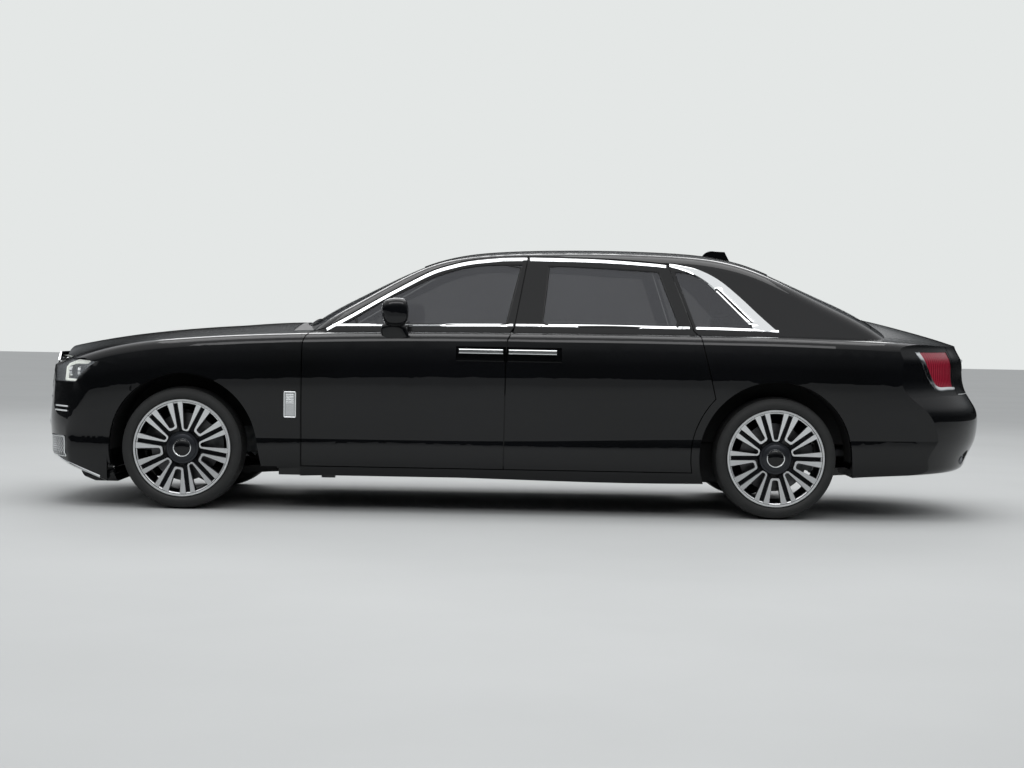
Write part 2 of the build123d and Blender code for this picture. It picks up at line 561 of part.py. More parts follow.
parts["quarter_windows"] = Compound(children=[quarter_pane, mirrored(quarter_pane)])

# ---- Floor, bulkheads and wheelhouses
TRIM = 1.0
inside = hull(PANEL + TRIM, PANEL + TRIM, PANEL + TRIM)


def wheelhouse(x, radius, inner, width_to, low):
    """A liner round the wheel, open outboard and below, closed inboard above the suspension."""
    plane = Plane(Vector(x, inner - LINER, WHEEL_Z), z_dir=(0, 1, 0))
    shell = Solid.make_cylinder(radius + LINER, width_to - inner + LINER, plane)
    hollow = Solid.make_cylinder(radius, width_to, Plane(Vector(x, inner, WHEEL_Z), z_dir=(0, 1, 0)))
    cut = solid_box((x - 600, 0, 0), (x + 600, inner + 1, low))
    cut = cut + solid_box((x - 140, 0, 530), (x + 140, FRONT_HOUSE + 1, 592))
    return (shell - hollow - cut) & inside & solid_box((x - 600, 0, 335), (x + 600, 1200, 1000))


def plate(x0, x1, half, z0, z1):
    return solid_box((along(x0), -out(half), z0), (along(x1), out(half), z1))


FLOOR_TOP = FLOOR_BOTTOM + FLOOR
REAR_FLOOR = 430.0
BULKHEAD_X = -1330.0
FIREWALL_X = 1350.0
house = wheelhouse(FRONT_AXLE_X, ARCH_RADIUS + TRIM, FRONT_HOUSE, out(940), 470)
rear_house = wheelhouse(REAR_AXLE_X, REAR_ARCH_RADIUS + TRIM, REAR_HOUSE, out(950), REAR_FLOOR + 1)
pan = plate(-1030, FIREWALL_X + 25, RAIL_Y, FLOOR_BOTTOM, FLOOR_TOP)
heel = plate(-1030, -1005, 700, FLOOR_TOP, REAR_FLOOR + 25)
boot_floor = plate(-2600, -1010, 627, REAR_FLOOR, REAR_FLOOR + 25)
bulkhead = plate(BULKHEAD_X, BULKHEAD_X + 25, 1000, REAR_FLOOR + 25, up(999))
shelf = plate(-2020, BULKHEAD_X + 20, 1000, up(980), up(999))
firewall = plate(FIREWALL_X, FIREWALL_X + 25, 1000, FLOOR_BOTTOM, up(1030))
tray = SHELL & block((FIREWALL_X, 2099), (-484, 484), (0, 300))
cowl = (SHELL & cowl_zone) - glass_hole - bonnet_hole
rear_house = rear_house - side_shell
house_plane = Plane(Vector(REAR_AXLE_X, REAR_HOUSE - LINER - SEAM, WHEEL_Z), z_dir=(0, 1, 0))
house_room = Solid.make_cylinder(REAR_ARCH_RADIUS + TRIM + LINER + SEAM, 600, house_plane)
rear_wall = ((bulkhead + shelf) & inside) - arches - house_room - mirrored(house_room)
front_floor = pan + ((firewall & inside) - arches) + tray
sill_room = block((1250, 1400), (700, BEYOND_SIDE), (0, BEYOND_TOP))
keep("floor_pan", front_floor - sill_room - mirrored(sill_room))
keep("transmission_tunnel", plate(-1005, FIREWALL_X, 140, FLOOR_TOP, FLOOR_TOP + 90))
keep("boot_floor", boot_floor + heel)
keep("rear_bulkhead", rear_wall)
keep("wheelhouse_liners", house + mirrored(house) + rear_house + mirrored(rear_house))
keep("cowl_panel", cowl)

# ---- Cabin
def profile(runs, y0, y1):
    """A side outline in real (x, z) made solid between two widths."""
    return Solid.extrude(face_of(runs, lambda p: Vector(p[0], y0, p[1])), Vector(0, y1 - y0, 0))


SEAT_X = along(300)
seat = profile([[(SEAT_X - 300, FLOOR_TOP + 60), (SEAT_X + 230, FLOOR_TOP + 60)],
                [(SEAT_X + 230, FLOOR_TOP + 60), (SEAT_X + 290, FLOOR_TOP + 190),
                 (SEAT_X + 240, FLOOR_TOP + 290)],
                [(SEAT_X + 240, FLOOR_TOP + 290), (SEAT_X - 60, FLOOR_TOP + 250),
                 (SEAT_X - 200, FLOOR_TOP + 300)],
                [(SEAT_X - 200, FLOOR_TOP + 300), (SEAT_X - 270, FLOOR_TOP + 560),
                 (SEAT_X - 330, FLOOR_TOP + 830)],
                [(SEAT_X - 330, FLOOR_TOP + 830), (SEAT_X - 350, FLOOR_TOP + 990),
                 (SEAT_X - 420, FLOOR_TOP + 1000),
                 (SEAT_X - 450, FLOOR_TOP + 840)],
                [(SEAT_X - 450, FLOOR_TOP + 840), (SEAT_X - 420, FLOOR_TOP + 500),
                 (SEAT_X - 340, FLOOR_TOP + 200),
                 (SEAT_X - 300, FLOOR_TOP + 60)]], SEAT_Y - 230, SEAT_Y + 230)
head_gap = (solid_box((SEAT_X - 600, SEAT_Y - 300, FLOOR_TOP + 800),
                      (SEAT_X, SEAT_Y - 130, FLOOR_TOP + 1100))
            + solid_box((SEAT_X - 600, SEAT_Y + 130, FLOOR_TOP + 800),
                        (SEAT_X, SEAT_Y + 300, FLOOR_TOP + 1100)))
runners = [solid_box((SEAT_X - 260, y - 20, FLOOR_TOP), (SEAT_X + 200, y + 20, FLOOR_TOP + 61))
           for y in (SEAT_Y - 180, SEAT_Y + 180)]
front_seat = seat - head_gap + runners[0] + runners[1]
keep("front_seats", Compound(children=[front_seat, mirrored(front_seat)]))

REAR_X = along(BULKHEAD_X) + 25 + SEAM
RZ = REAR_FLOOR + 25
bench = profile([[(REAR_X, RZ), (REAR_X + 290, RZ)], [(REAR_X + 290, RZ), (REAR_X + 330, FLOOR_TOP + 160)],
                 [(REAR_X + 330, FLOOR_TOP + 160), (REAR_X + 700, FLOOR_TOP + 160)],
                 [(REAR_X + 700, FLOOR_TOP + 160), (REAR_X + 730, FLOOR_TOP + 230),
                  (REAR_X + 680, FLOOR_TOP + 300)],
                 [(REAR_X + 680, FLOOR_TOP + 300), (REAR_X + 420, FLOOR_TOP + 265),
                  (REAR_X + 270, FLOOR_TOP + 300)],
                 [(REAR_X + 270, FLOOR_TOP + 300), (REAR_X + 170, FLOOR_TOP + 560),
                  (REAR_X + 90, FLOOR_TOP + 830)],
                 [(REAR_X + 90, FLOOR_TOP + 830), (REAR_X + 70, FLOOR_TOP + 960),
                  (REAR_X + 10, FLOOR_TOP + 960),
                  (REAR_X, FLOOR_TOP + 800)], [(REAR_X, FLOOR_TOP + 800), (REAR_X, RZ)]], -620, 620)
bench = bench - solid_box((REAR_X - 10, -620, 0), (REAR_X + 320, 620, RZ + SEAM))
for y in (-620, -110, 510):
    bench = bench - solid_box((REAR_X - 10, y - 100 if y < 0 else y, FLOOR_TOP + 815),
                              (REAR_X + 300, y + (220 if abs(y) < 200 else 110), FLOOR_TOP + 1100))
bench = bench + solid_box((REAR_X + 420, -560, FLOOR_TOP), (REAR_X + 640, -150, FLOOR_TOP + 161))
bench = bench + solid_box((REAR_X + 420, 150, FLOOR_TOP), (REAR_X + 640, 560, FLOOR_TOP + 161))
keep("rear_seat", bench)

DASH_X = along(930)
dash = profile([[(DASH_X, 640), (DASH_X - 60, 760), (DASH_X - 20, 900), (DASH_X + 90, 985)],
                [(DASH_X + 90, 985), (FIREWALL_X - 2, 1035)],
                [(FIREWALL_X - 2, 1035), (FIREWALL_X - 2, 640)],
                [(FIREWALL_X - 2, 640), (DASH_X, 640)]], -755, 755)
dash = dash & cabin(FRAME + 20).fuse(hull(DOOR_THICKNESS + 20, PANEL + 12, PANEL + 12))
CONSOLE_FOOT = FLOOR_TOP + 90 + SEAM
console = profile([[(DASH_X + 60, CONSOLE_FOOT), (DASH_X + 60, 700)],
                   [(DASH_X + 60, 700), (DASH_X - 160, 640), (SEAT_X - 60, 610)],
                   [(SEAT_X - 60, 610), (SEAT_X - 300, 600)],
                   [(SEAT_X - 300, 600), (SEAT_X - 300, CONSOLE_FOOT)],
                   [(SEAT_X - 300, CONSOLE_FOOT), (DASH_X + 60, CONSOLE_FOOT)]], -105, 105)
WHEEL_HUB = Vector(DASH_X - 175, SEAT_Y, 850)
COLUMN = Vector(-cos(radians(COLUMN_TILT)), 0, sin(radians(COLUMN_TILT)))
column = Solid.make_cylinder(34, 340 - 35 - RUNNING_CLEARANCE,
                             Plane(WHEEL_HUB - COLUMN * 340, z_dir=COLUMN))
keep("dashboard", dash + console + column)
wheel_plane = Plane(WHEEL_HUB, x_dir=(0, 1, 0), z_dir=COLUMN)
steering = Solid.make_torus(STEERING_WHEEL_RADIUS, 14, wheel_plane)
steering = steering + Solid.make_cylinder(58, 40, wheel_plane.offset(-35))
for angle in (0, 180, 270):
    spoke = Solid.make_box(STEERING_WHEEL_RADIUS - 40, 34, 16, Plane(origin=(36, -17, -8)))
    spoke = spoke.rotate(Axis.Z, angle)
    steering = steering + wheel_plane.location * spoke
keep("steering_wheel", steering)

# ---- Wheels
def ring_of(points):
    """A ring about the Y axis from a closed (radius, y) outline."""
    return Solid.revolve(Face(Wire.make_polygon([Vector(r, y, 0) for r, y in points])), 360, Axis.Y)


def tyre(width):
    half = width / 2
    bead = half - 16
    profile_wire = Wire([Edge.make_line((RIM_RADIUS - 8, -bead, 0), (RIM_RADIUS - 8, bead, 0)),
                         Edge.make_line((RIM_RADIUS - 8, bead, 0), (RIM_RADIUS + 1, bead, 0)),
                         Edge.make_spline([Vector(RIM_RADIUS + 1, bead, 0),
                                           Vector(RIM_RADIUS + 14, half - 3, 0),
                                           Vector(TYRE_RADIUS - 42, half, 0),
                                           Vector(TYRE_RADIUS - 10, half - 16, 0)]),
                         Edge.make_three_point_arc(Vector(TYRE_RADIUS - 10, half - 16, 0),
                                                   Vector(TYRE_RADIUS, 0, 0),
                                                   Vector(TYRE_RADIUS - 10, 16 - half, 0)),
                         Edge.make_spline([Vector(TYRE_RADIUS - 10, 16 - half, 0),
                                           Vector(TYRE_RADIUS - 42, -half, 0),
                                           Vector(RIM_RADIUS + 14, 3 - half, 0),
                                           Vector(RIM_RADIUS + 1, -bead, 0)]),
                         Edge.make_line((RIM_RADIUS + 1, -bead, 0), (RIM_RADIUS - 8, -bead, 0))])
    return Solid.revolve(Face(profile_wire), 360, Axis.Y)


SPOKE_SHIFT = 6.0


def rim(width):
    """An alloy wheel of paired spokes; +Y is its outer face."""
    half = width / 2
    seat_r = RIM_RADIUS - 8 - RUNNING_CLEARANCE
    edge = half - 7
    bead = half - 15.5
    barrel = ring_of([(RIM_RADIUS - 14, edge), (RIM_RADIUS, edge), (RIM_RADIUS, bead), (seat_r, bead),
                      (seat_r, bead - 30), (seat_r - 12, bead - 44), (seat_r - 12, 44 - bead),
                      (seat_r, 30 - bead),
                      (seat_r, -bead), (RIM_RADIUS, -bead), (RIM_RADIUS, -edge), (RIM_RADIUS - 16, -edge),
                      (seat_r - 22, 46 - bead), (seat_r - 22, bead - 60), (RIM_RADIUS - 22, edge - 10)])
    face = edge - 8
    disc = ring_of([(HUB_RADIUS - 6, face - 64), (HUB_RADIUS - 6, face - 18), (170, face - 12),
                    (seat_r - 18, face),
                    (seat_r - 18, face - 46), (170, face - 58)])
    spokes = []
    for k in range(SPOKE_PAIRS):
        middle = (k + 0.5) * 360 / SPOKE_PAIRS
        lean = -SPOKE_SHIFT if k % 2 == 0 else SPOKE_SHIFT
        for sign in (-1, 1):
            near = radians(middle + lean)
            far = radians(middle)
            points = []
            for radius, angle, offset in ((HUB_RADIUS - 8, near, 3), (seat_r - 8, far, 7),
                                          (seat_r - 8, far, 25), (HUB_RADIUS - 8, near, 16)):
                points.append(Vector(radius * cos(angle) - sign * offset * sin(angle), 0,
                                     radius * sin(angle) + sign * offset * cos(angle)))
            spokes.append(Solid.extrude(Face(Wire.make_polygon(points)), Vector(0, half, 0)))
    star = (spokes[0].fuse(*spokes[1:])) & disc
    hub = ring_of([(SPINDLE_RADIUS + RUNNING_CLEARANCE, face - 90), (HUB_RADIUS, face - 90),
                   (HUB_RADIUS, face - 16), (60, face - 10),
                   (0, face - 10), (0, face - 30), (SPINDLE_RADIUS + RUNNING_CLEARANCE, face - 30)])
    return barrel + star + hub


def brake_disc(back):
    """A ventilated disc with its hat; `back` is the plane where the wheel bolts on."""
    bore = SPINDLE_RADIUS + RUNNING_CLEARANCE
    return ring_of([(bore, back - 40), (bore, back), (HUB_RADIUS - 4, back), (HUB_RADIUS - 4, back - 30),
                    (DISC_RADIUS, back - 30),
                    (DISC_RADIUS, back - 30 - DISC_THICKNESS),
                    (HUB_RADIUS - 14, back - 30 - DISC_THICKNESS), (HUB_RADIUS - 14, back - 12 - 28)])


def caliper(back, angle):
    """A brake caliper round the edge of the disc."""
    middle = back - 30 - DISC_THICKNESS / 2
    width = DISC_THICKNESS / 2 + 26
    body = ring_of([(128, middle - width), (232, middle - width), (232, middle + width - 6),
                    (128, middle + width - 6)])
    slot = ring_of([(90, middle - DISC_THICKNESS / 2 - 5),
                    (DISC_RADIUS + 6, middle - DISC_THICKNESS / 2 - 5),
                    (DISC_RADIUS + 6, middle + DISC_THICKNESS / 2 + 5),
                    (90, middle + DISC_THICKNESS / 2 + 5)])
    wedge = Face(Wire.make_polygon([(0, 0, 0), (400, 0, -150), (400, 0, 150)]))
    wedge = Solid.extrude(wedge, Vector(0, 400, 0)).moved(Location((0, -200, 0))).rotate(Axis.Y, angle)
    return (body - slot) & wedge


def carrier(back, angle):
    """The upright that holds the wheel's spindle, with its caliper."""
    plane = back - 30 - DISC_THICKNESS - 8
    spindle = Solid.make_cylinder(SPINDLE_RADIUS, 110, Plane(Vector(0, plane - 30, 0), z_dir=(0, 1, 0)))
    boss = Solid.make_cylinder(66, 36, Plane(Vector(0, plane - 36, 0), z_dir=(0, 1, 0)))
    arm = Solid.make_box(240, 22, 70, Plane(origin=(0, plane - 30, -35))).rotate(Axis.Y, angle)
    return spindle + boss + (arm - Solid.make_cylinder(400, 100,
                                                       Plane(Vector(0, plane - 60, 0), z_dir=(0, 1, 0)))
                                                       + arm) + caliper(back, angle)


wheels = (("front", FRONT_AXLE_X, FRONT_TYRE_WIDTH, FRONT_WHEEL_FACE, 16.0 - 90),
          ("rear", REAR_AXLE_X, REAR_TYRE_WIDTH, REAR_WHEEL_FACE, -90.0))
backs = {}
for end, x, width, face, phase in wheels:
    centre = Location((x, face - width / 2, WHEEL_Z))
    back = width / 2 - 15 - 90
    backs[end] = (centre, back)
    pieces = {"_tyre": tyre(width), "_wheel": rim(width).rotate(Axis.Y, phase),
              "_brake_disc": brake_disc(back)}
    for label, shape in pieces.items():
        placed = centre * shape
        keep(end + label + "_left", placed)
        keep(end + label + "_right", mirrored(placed))

# ---- Suspension, hubs and drive
KINGPIN_BORE = 12.0
ARM = 24.0
LOWER_BALL_Z = WHEEL_Z - 118
UPPER_BALL_Z = WHEEL_Z + 190
centre, back = backs["front"]
upright = centre * carrier(back, 180)
post = solid_box((FRONT_AXLE_X - 26, KINGPIN_Y - 26, LOWER_BALL_Z),
                 (FRONT_AXLE_X + 26, KINGPIN_Y + 30, UPPER_BALL_Z))
sockets = [Solid.make_cylinder(KINGPIN_BORE + RUNNING_CLEARANCE, 24, Plane((FRONT_AXLE_X, KINGPIN_Y, z)))
           for z in (LOWER_BALL_Z - 2, UPPER_BALL_Z - 22)]
knuckle = upright + post - sockets[0] - sockets[1]
keep("front_knuckle_left", knuckle)
keep("front_knuckle_right", mirrored(knuckle))

FRAME_Y = 400.0
SUBFRAME_TOP = 300.0
cross = solid_box((FRONT_AXLE_X - 90, -FRAME_Y, SUBFRAME_TOP - 55),
                  (FRONT_AXLE_X + 90, FRAME_Y, SUBFRAME_TOP))
front_frame = cross
for y in (-FRAME_Y + 40, FRAME_Y - 40):
    for x in (FRONT_AXLE_X - 60, FRONT_AXLE_X + 60):
        leg = Solid.make_cylinder(22, SUBFRAME_TOP - 150, Plane((x, y, 130)))
        front_frame = front_frame + (leg & solid_box((x - 40, y - 40, 0),
                                                     (x + 40, y + 40, SUBFRAME_TOP - 20)) - tray
                                                     - solid_box((x - 40, y - 40, 0),
                                                                 (x + 40, y + 40, up(185))))


def arm(x, z0, z1, y0, y1, end):
    """A suspension arm that narrows from the frame out to its ball joint."""
    outline = [[(x - 110, y0), (x - 30, y1)], [(x - 30, y1), (x, y1 + end), (x + 30, y1)],
               [(x + 30, y1), (x + 110, y0)],
               [(x + 110, y0), (x - 110, y0)]]
    face = face_of(outline, lambda p: Vector(p[0], p[1], z0))
    window = face_of([[(x - 60, y0 + 60), (x, y1 - 90)], [(x, y1 - 90), (x + 60, y0 + 60)],
                      [(x + 60, y0 + 60), (x - 60, y0 + 60)]],
                     lambda p: Vector(p[0], p[1], z0 - 1))
    return Solid.extrude(face, Vector(0, 0, z1 - z0)) - Solid.extrude(window, Vector(0, 0, z1 - z0 + 2))


BALL_GAP = 2.0
lower_z = LOWER_BALL_Z - BALL_GAP
upper_z = UPPER_BALL_Z + BALL_GAP
lower_arm = arm(FRONT_AXLE_X, lower_z - ARM, lower_z, FRAME_Y - 60, KINGPIN_Y, 28)
lower_arm = lower_arm + Solid.make_cylinder(KINGPIN_BORE, 20 + BALL_GAP,
                                            Plane((FRONT_AXLE_X, KINGPIN_Y, lower_z - 1)))
lower_arm = lower_arm + solid_box((FRONT_AXLE_X - 80, FRAME_Y - 60, lower_z - ARM),
                                  (FRONT_AXLE_X + 80, FRAME_Y - 10, SUBFRAME_TOP - 40))
upper_arm = arm(FRONT_AXLE_X, upper_z, upper_z + ARM, 440, KINGPIN_Y, 26)
upper_arm = upper_arm + Solid.make_cylinder(KINGPIN_BORE, 20 + BALL_GAP,
                                            Plane((FRONT_AXLE_X, KINGPIN_Y, upper_z - 20)))
tower = solid_box((FRONT_AXLE_X - 70, 345, SUBFRAME_TOP - 20), (FRONT_AXLE_X + 70, 460, upper_z + ARM))
tower = tower - solid_box((FRONT_AXLE_X - 71, 372, SUBFRAME_TOP + 20),
                          (FRONT_AXLE_X + 71, 432, upper_z - 20))
arms = lower_arm + upper_arm + tower
front_frame = front_frame + arms + mirrored(arms)
keep("front_subframe", front_frame)

ENGINE_TOP = 850.0
engine = solid_box((FRONT_AXLE_X - 560, -290, SUBFRAME_TOP), (FRONT_AXLE_X + 400, 290, ENGINE_TOP))
engine = engine.chamfer(60, None, engine.edges().filter_by(Axis.X).sort_by(Axis.Z)[-2:])
keep("engine_block", engine)

centre, back = backs["rear"]
rear_upright = centre * carrier(back, 180)
rear_y = REAR_WHEEL_FACE - REAR_TYRE_WIDTH / 2 + back - 30 - DISC_THICKNESS - 8 - 36
rear_arm = arm(REAR_AXLE_X, 232, 262, FRAME_Y - 60, rear_y, 30)
rear_link = solid_box((REAR_AXLE_X - 26, rear_y - 10, 250), (REAR_AXLE_X + 26, rear_y + 22, WHEEL_Z))
shaft = Solid.make_cylinder(19, rear_y - 110, Plane(Vector(REAR_AXLE_X, 118, WHEEL_Z), z_dir=(0, 1, 0)))
corner = rear_upright + rear_arm + rear_link + shaft
rear_frame = solid_box((REAR_AXLE_X - 80, -FRAME_Y, 235), (REAR_AXLE_X + 80, FRAME_Y, 290))
rear_frame = rear_frame + solid_box((REAR_AXLE_X - 120, -130, 280),
                                    (REAR_AXLE_X + 120, 130, REAR_FLOOR - 15)) + corner + mirrored(corner)
for y in (-FRAME_Y + 40, FRAME_Y - 40):
    rear_frame = rear_frame + Solid.make_cylinder(30, REAR_FLOOR - 270, Plane((REAR_AXLE_X, y, 270)))
keep("rear_subframe", rear_frame)

PIPE = 27.0
PIPE_Y = 210.0
pipe_z = FLOOR_BOTTOM - PIPE - SEAM


def pipe(y):
    """One exhaust: under the floor, up behind the axle, through its silencer to the tail."""
    silencer_x = REAR_AXLE_X - 420
    path = FilletPolyline((along(1150), y, pipe_z), (REAR_AXLE_X - 160, y, pipe_z),
                          (silencer_x + 20, y, 365),
                          (silencer_x - 60, y, 365), radius=90)
    ring = Plane(origin=(along(1150), y, pipe_z), z_dir=(-1, 0, 0)) * Circle(PIPE)
    run = sweep(ring, path=path).solid()
    can = solid_box((silencer_x - 400, y - 90, 325), (silencer_x, y + 230, 415))
    can = can.fillet(30, can.edges().filter_by(Axis.X))
    return run + can


TAILPIPE_Y = 560.0
TAILPIPE_Z = 362.0
tip_x = TAIL_X + 168
tip = (Solid.make_cylinder(44, 200, Plane(Vector(tip_x, TAILPIPE_Y, TAILPIPE_Z), z_dir=(1, 0, 0)))
       - Solid.make_cylinder(38, 150, Plane(Vector(tip_x - 1, TAILPIPE_Y, TAILPIPE_Z), z_dir=(1, 0, 0))))
link = solid_box((tip_x + 190, 400, TAILPIPE_Z - 22), (REAR_AXLE_X - 800, TAILPIPE_Y + 30, TAILPIPE_Z + 22))
exhaust = pipe(PIPE_Y) + link + tip
hanger = solid_box((REAR_AXLE_X - 640, 250, 400), (REAR_AXLE_X - 600, 290, REAR_FLOOR))
exhaust = exhaust + hanger
tail_hole = Solid.make_cylinder(44 + SEAM, 520,
                                Plane(Vector(TAIL_X - 50, TAILPIPE_Y, TAILPIPE_Z), z_dir=(1, 0, 0)))
keep("exhaust_system", exhaust + mirrored(exhaust))
pipe_room = solid_box((along(-1950), -260, 0), (along(-1700), 260, 340))
keep("rear_bumper", parts["rear_bumper"] - tail_hole - mirrored(tail_hole) - pipe_room)

# ---- Lamps, grille, wipers and aerial
lamp_skin = hull(4, 4, 4)
housing_skin = hull(34, 34, 34)
lamp_back = hull(130, 130, 130)
keep("headlamp_lenses", (lamp_skin - hull(9, 9, 9)) & headlamp_zone)
keep("headlamp_housings", (housing_skin - lamp_back) & headlamp_zone)
keep("tail_lamps", (lamp_skin - hull(60, 60, 60)) & tail_lamp_zone)

GRILLE_DEPTH = 66.0
grille_face = face_of(grow(GRILLE, -SEAM), lambda p: Vector(NOSE_X - 4 - GRILLE_DEPTH, out(p[0]), up(p[1])))
surround = Solid.extrude(grille_face, Vector(GRILLE_DEPTH, 0, 0))
opening = solid_box((NOSE_X - 201, out(-338), up(476)), (NOSE_X, out(338), up(864)))
surround = surround - opening
SLATS = 22
pitch = 2 * out(338) / SLATS
for i in range(SLATS):
    y = -out(338) + (i + 0.5) * pitch
    surround = surround + solid_box((NOSE_X - 68, y - 5, up(476) - 1), (NOSE_X - 18, y + 5, up(864) + 1))
keep("radiator_grille", surround)

blades = cabin(-8) - cabin(GLASS_INSET - RUNNING_CLEARANCE)
for i, (px, py, qx, qy) in enumerate(((1268, 480, 1250, -100), (1310, -250, 1196, -620))):
    strip = plan_prism([[(px, py), (px - 14, py)], [(px - 14, py), (qx - 14, qy)],
                        [(qx - 14, qy), (qx, qy)], [(qx, qy), (px, py)]], up(1000), BEYOND_TOP)
    blade = blades & strip
    pivot = Solid.make_cylinder(11, 400, Plane((along(px - 7), out(py), up(900)))) & cabin(-11)
    wiper = (blade + pivot) if i == 0 else wiper + blade + pivot
wiper = wiper - cowl - (OUTER & cowl_zone)
keep("wipers", wiper)
fin = side_prism([[(-1150, 1540), (-1187, 1592), (-1240, 1598)], [(-1240, 1598), (-1300, 1596)],
                  [(-1300, 1596), (-1345, 1510)],
                  [(-1345, 1510), (-1150, 1540)]], -17, 17) - OUTER_CABIN
keep("roof_aerial", fin)

os.makedirs("parts", exist_ok=True)
for name, shape in parts.items():
    export_step(shape, "parts/" + name + ".step")
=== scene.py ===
"""Looks of a full-size luxury saloon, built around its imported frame.

Metres, +X forward, +Y to the car's left, +Z up, with the origin on the ground below its middle.
Each sub-assembly is a class that holds its sizes, builds its meshes and dresses them.
"""
from __future__ import annotations

import logging
import math
from dataclasses import dataclass, field
from enum import Enum
from functools import partial
from typing import Any, Callable, Iterable, Sequence

import bmesh
import bpy
from mathutils import Matrix, Vector
from mathutils.bvhtree import BVHTree

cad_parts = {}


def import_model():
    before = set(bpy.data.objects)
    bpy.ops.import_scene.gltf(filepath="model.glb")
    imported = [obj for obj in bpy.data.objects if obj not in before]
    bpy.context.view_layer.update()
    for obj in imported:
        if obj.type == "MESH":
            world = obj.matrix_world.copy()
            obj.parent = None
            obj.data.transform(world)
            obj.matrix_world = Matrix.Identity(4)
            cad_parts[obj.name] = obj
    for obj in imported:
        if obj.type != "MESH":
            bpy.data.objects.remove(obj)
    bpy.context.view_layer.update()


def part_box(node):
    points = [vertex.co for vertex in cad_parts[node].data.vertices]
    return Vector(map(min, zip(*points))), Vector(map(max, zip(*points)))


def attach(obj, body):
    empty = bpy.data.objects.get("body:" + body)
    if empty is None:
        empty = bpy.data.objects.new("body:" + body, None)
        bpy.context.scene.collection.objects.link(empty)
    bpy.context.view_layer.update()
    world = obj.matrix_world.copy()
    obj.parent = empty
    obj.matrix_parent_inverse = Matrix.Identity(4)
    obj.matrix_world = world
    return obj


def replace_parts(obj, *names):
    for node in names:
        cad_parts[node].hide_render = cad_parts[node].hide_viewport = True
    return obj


logging.basicConfig(level=logging.INFO, format="%(message)s")
log = logging.getLogger("saloon")

Mesh = bmesh.types.BMesh
Node = bpy.types.Node
Piece = bpy.types.Object
Socket = bpy.types.NodeSocket
Tree = bpy.types.NodeTree
Point = tuple[float, float]
Row = list[Vector]
Contact = tuple[Vector, Vector]
Meet = Callable[[Point, "Contact | None"], "Contact | None"]
Stops = Sequence[tuple[float, str]]
Relief = "tuple[Pattern | Socket, float, float]"


class Side(Enum):
    """The two sides of the car, with the sign of Y on each."""

    LEFT = 1
    RIGHT = -1

    @property
    def word(self) -> str:
        """The side's name as the frame writes it."""
        return self.name.lower()


class Shade(Enum):
    """How a mesh is shaded."""

    SMOOTH = "smooth"
    FLAT = "flat"
    EDGED = "edged"


# ---- Node helpers


def colour(code: str) -> tuple[float, float, float, float]:
    """Turn an sRGB hex code into linear colour.

    Args:
        code: Six hex digits, with or without a leading hash.

    Returns:
        Red, green, blue and an alpha of 1.
    """
    digits = code.lstrip("#")
    channels = [int(digits[i:i + 2], 16) / 255 for i in (0, 2, 4)]
    linear = [c / 12.92 if c <= 0.04045 else ((c + 0.055) / 1.055) ** 2.4 for c in channels]
    return (linear[0], linear[1], linear[2], 1.0)


def set_inputs(node: Node, inputs: dict[Any, Any]) -> None:
    """Give a node's inputs their values and links.

    Args:
        node: The node.
        inputs: For each input, a value or the socket that drives it.
    """
    for key, value in inputs.items():
        if isinstance(value, Socket):
            node.id_data.links.new(value, node.inputs[key])
        else:
            node.inputs[key].default_value = value


def set_stops(node: Node, stops: Stops) -> None:
    """Set the stops of a colour ramp.

    Args:
        node: The colour ramp node.
        stops: Pairs of position and sRGB hex code, in rising order.
    """
    elements = node.color_ramp.elements
    while len(elements) < len(stops):
        elements.new(0.5)
    for element, (position, code) in zip(elements, stops):
        element.position = position
        element.color = colour(code)


def add_node(tree: Tree, kind: str, settings: dict[str, Any] | None = None,
             inputs: dict[Any, Any] | None = None, output: int | str = 0) -> Socket:
    """Add one node with its settings, values and links.

    Args:
        tree: The node tree that takes the node.
        kind: The node's type name, without the ShaderNode that all begin with.
        settings: Attributes of the node, with a colour ramp's stops under "stops".
        inputs: For each input, a value or the socket that drives it.
        output: Which of its outputs to hand back.

    Returns:
        That output.
    """
    node = tree.nodes.new("ShaderNode" + kind)
    for name, value in (settings or {}).items():
        if name == "stops":
            set_stops(node, value)
        else:
            setattr(node, name, value)
    set_inputs(node, inputs or {})
    return node.outputs[output]


@dataclass(frozen=True)
class Pattern:
    """Random patches of about a real size, which travel with the piece."""

    millimetres: float
    detail: float = 3.0

    def add(self, tree: Tree) -> Socket:
        """Add the pattern to a tree and hand back its value, near 0.5."""
        return add_node(tree, "TexNoise", None, {
            "Vector": add_node(tree, "TexCoord", output="Object"), "Scale": 1000.0 / self.millimetres,
            "Detail": self.detail, "Roughness": 0.55}, "Fac")


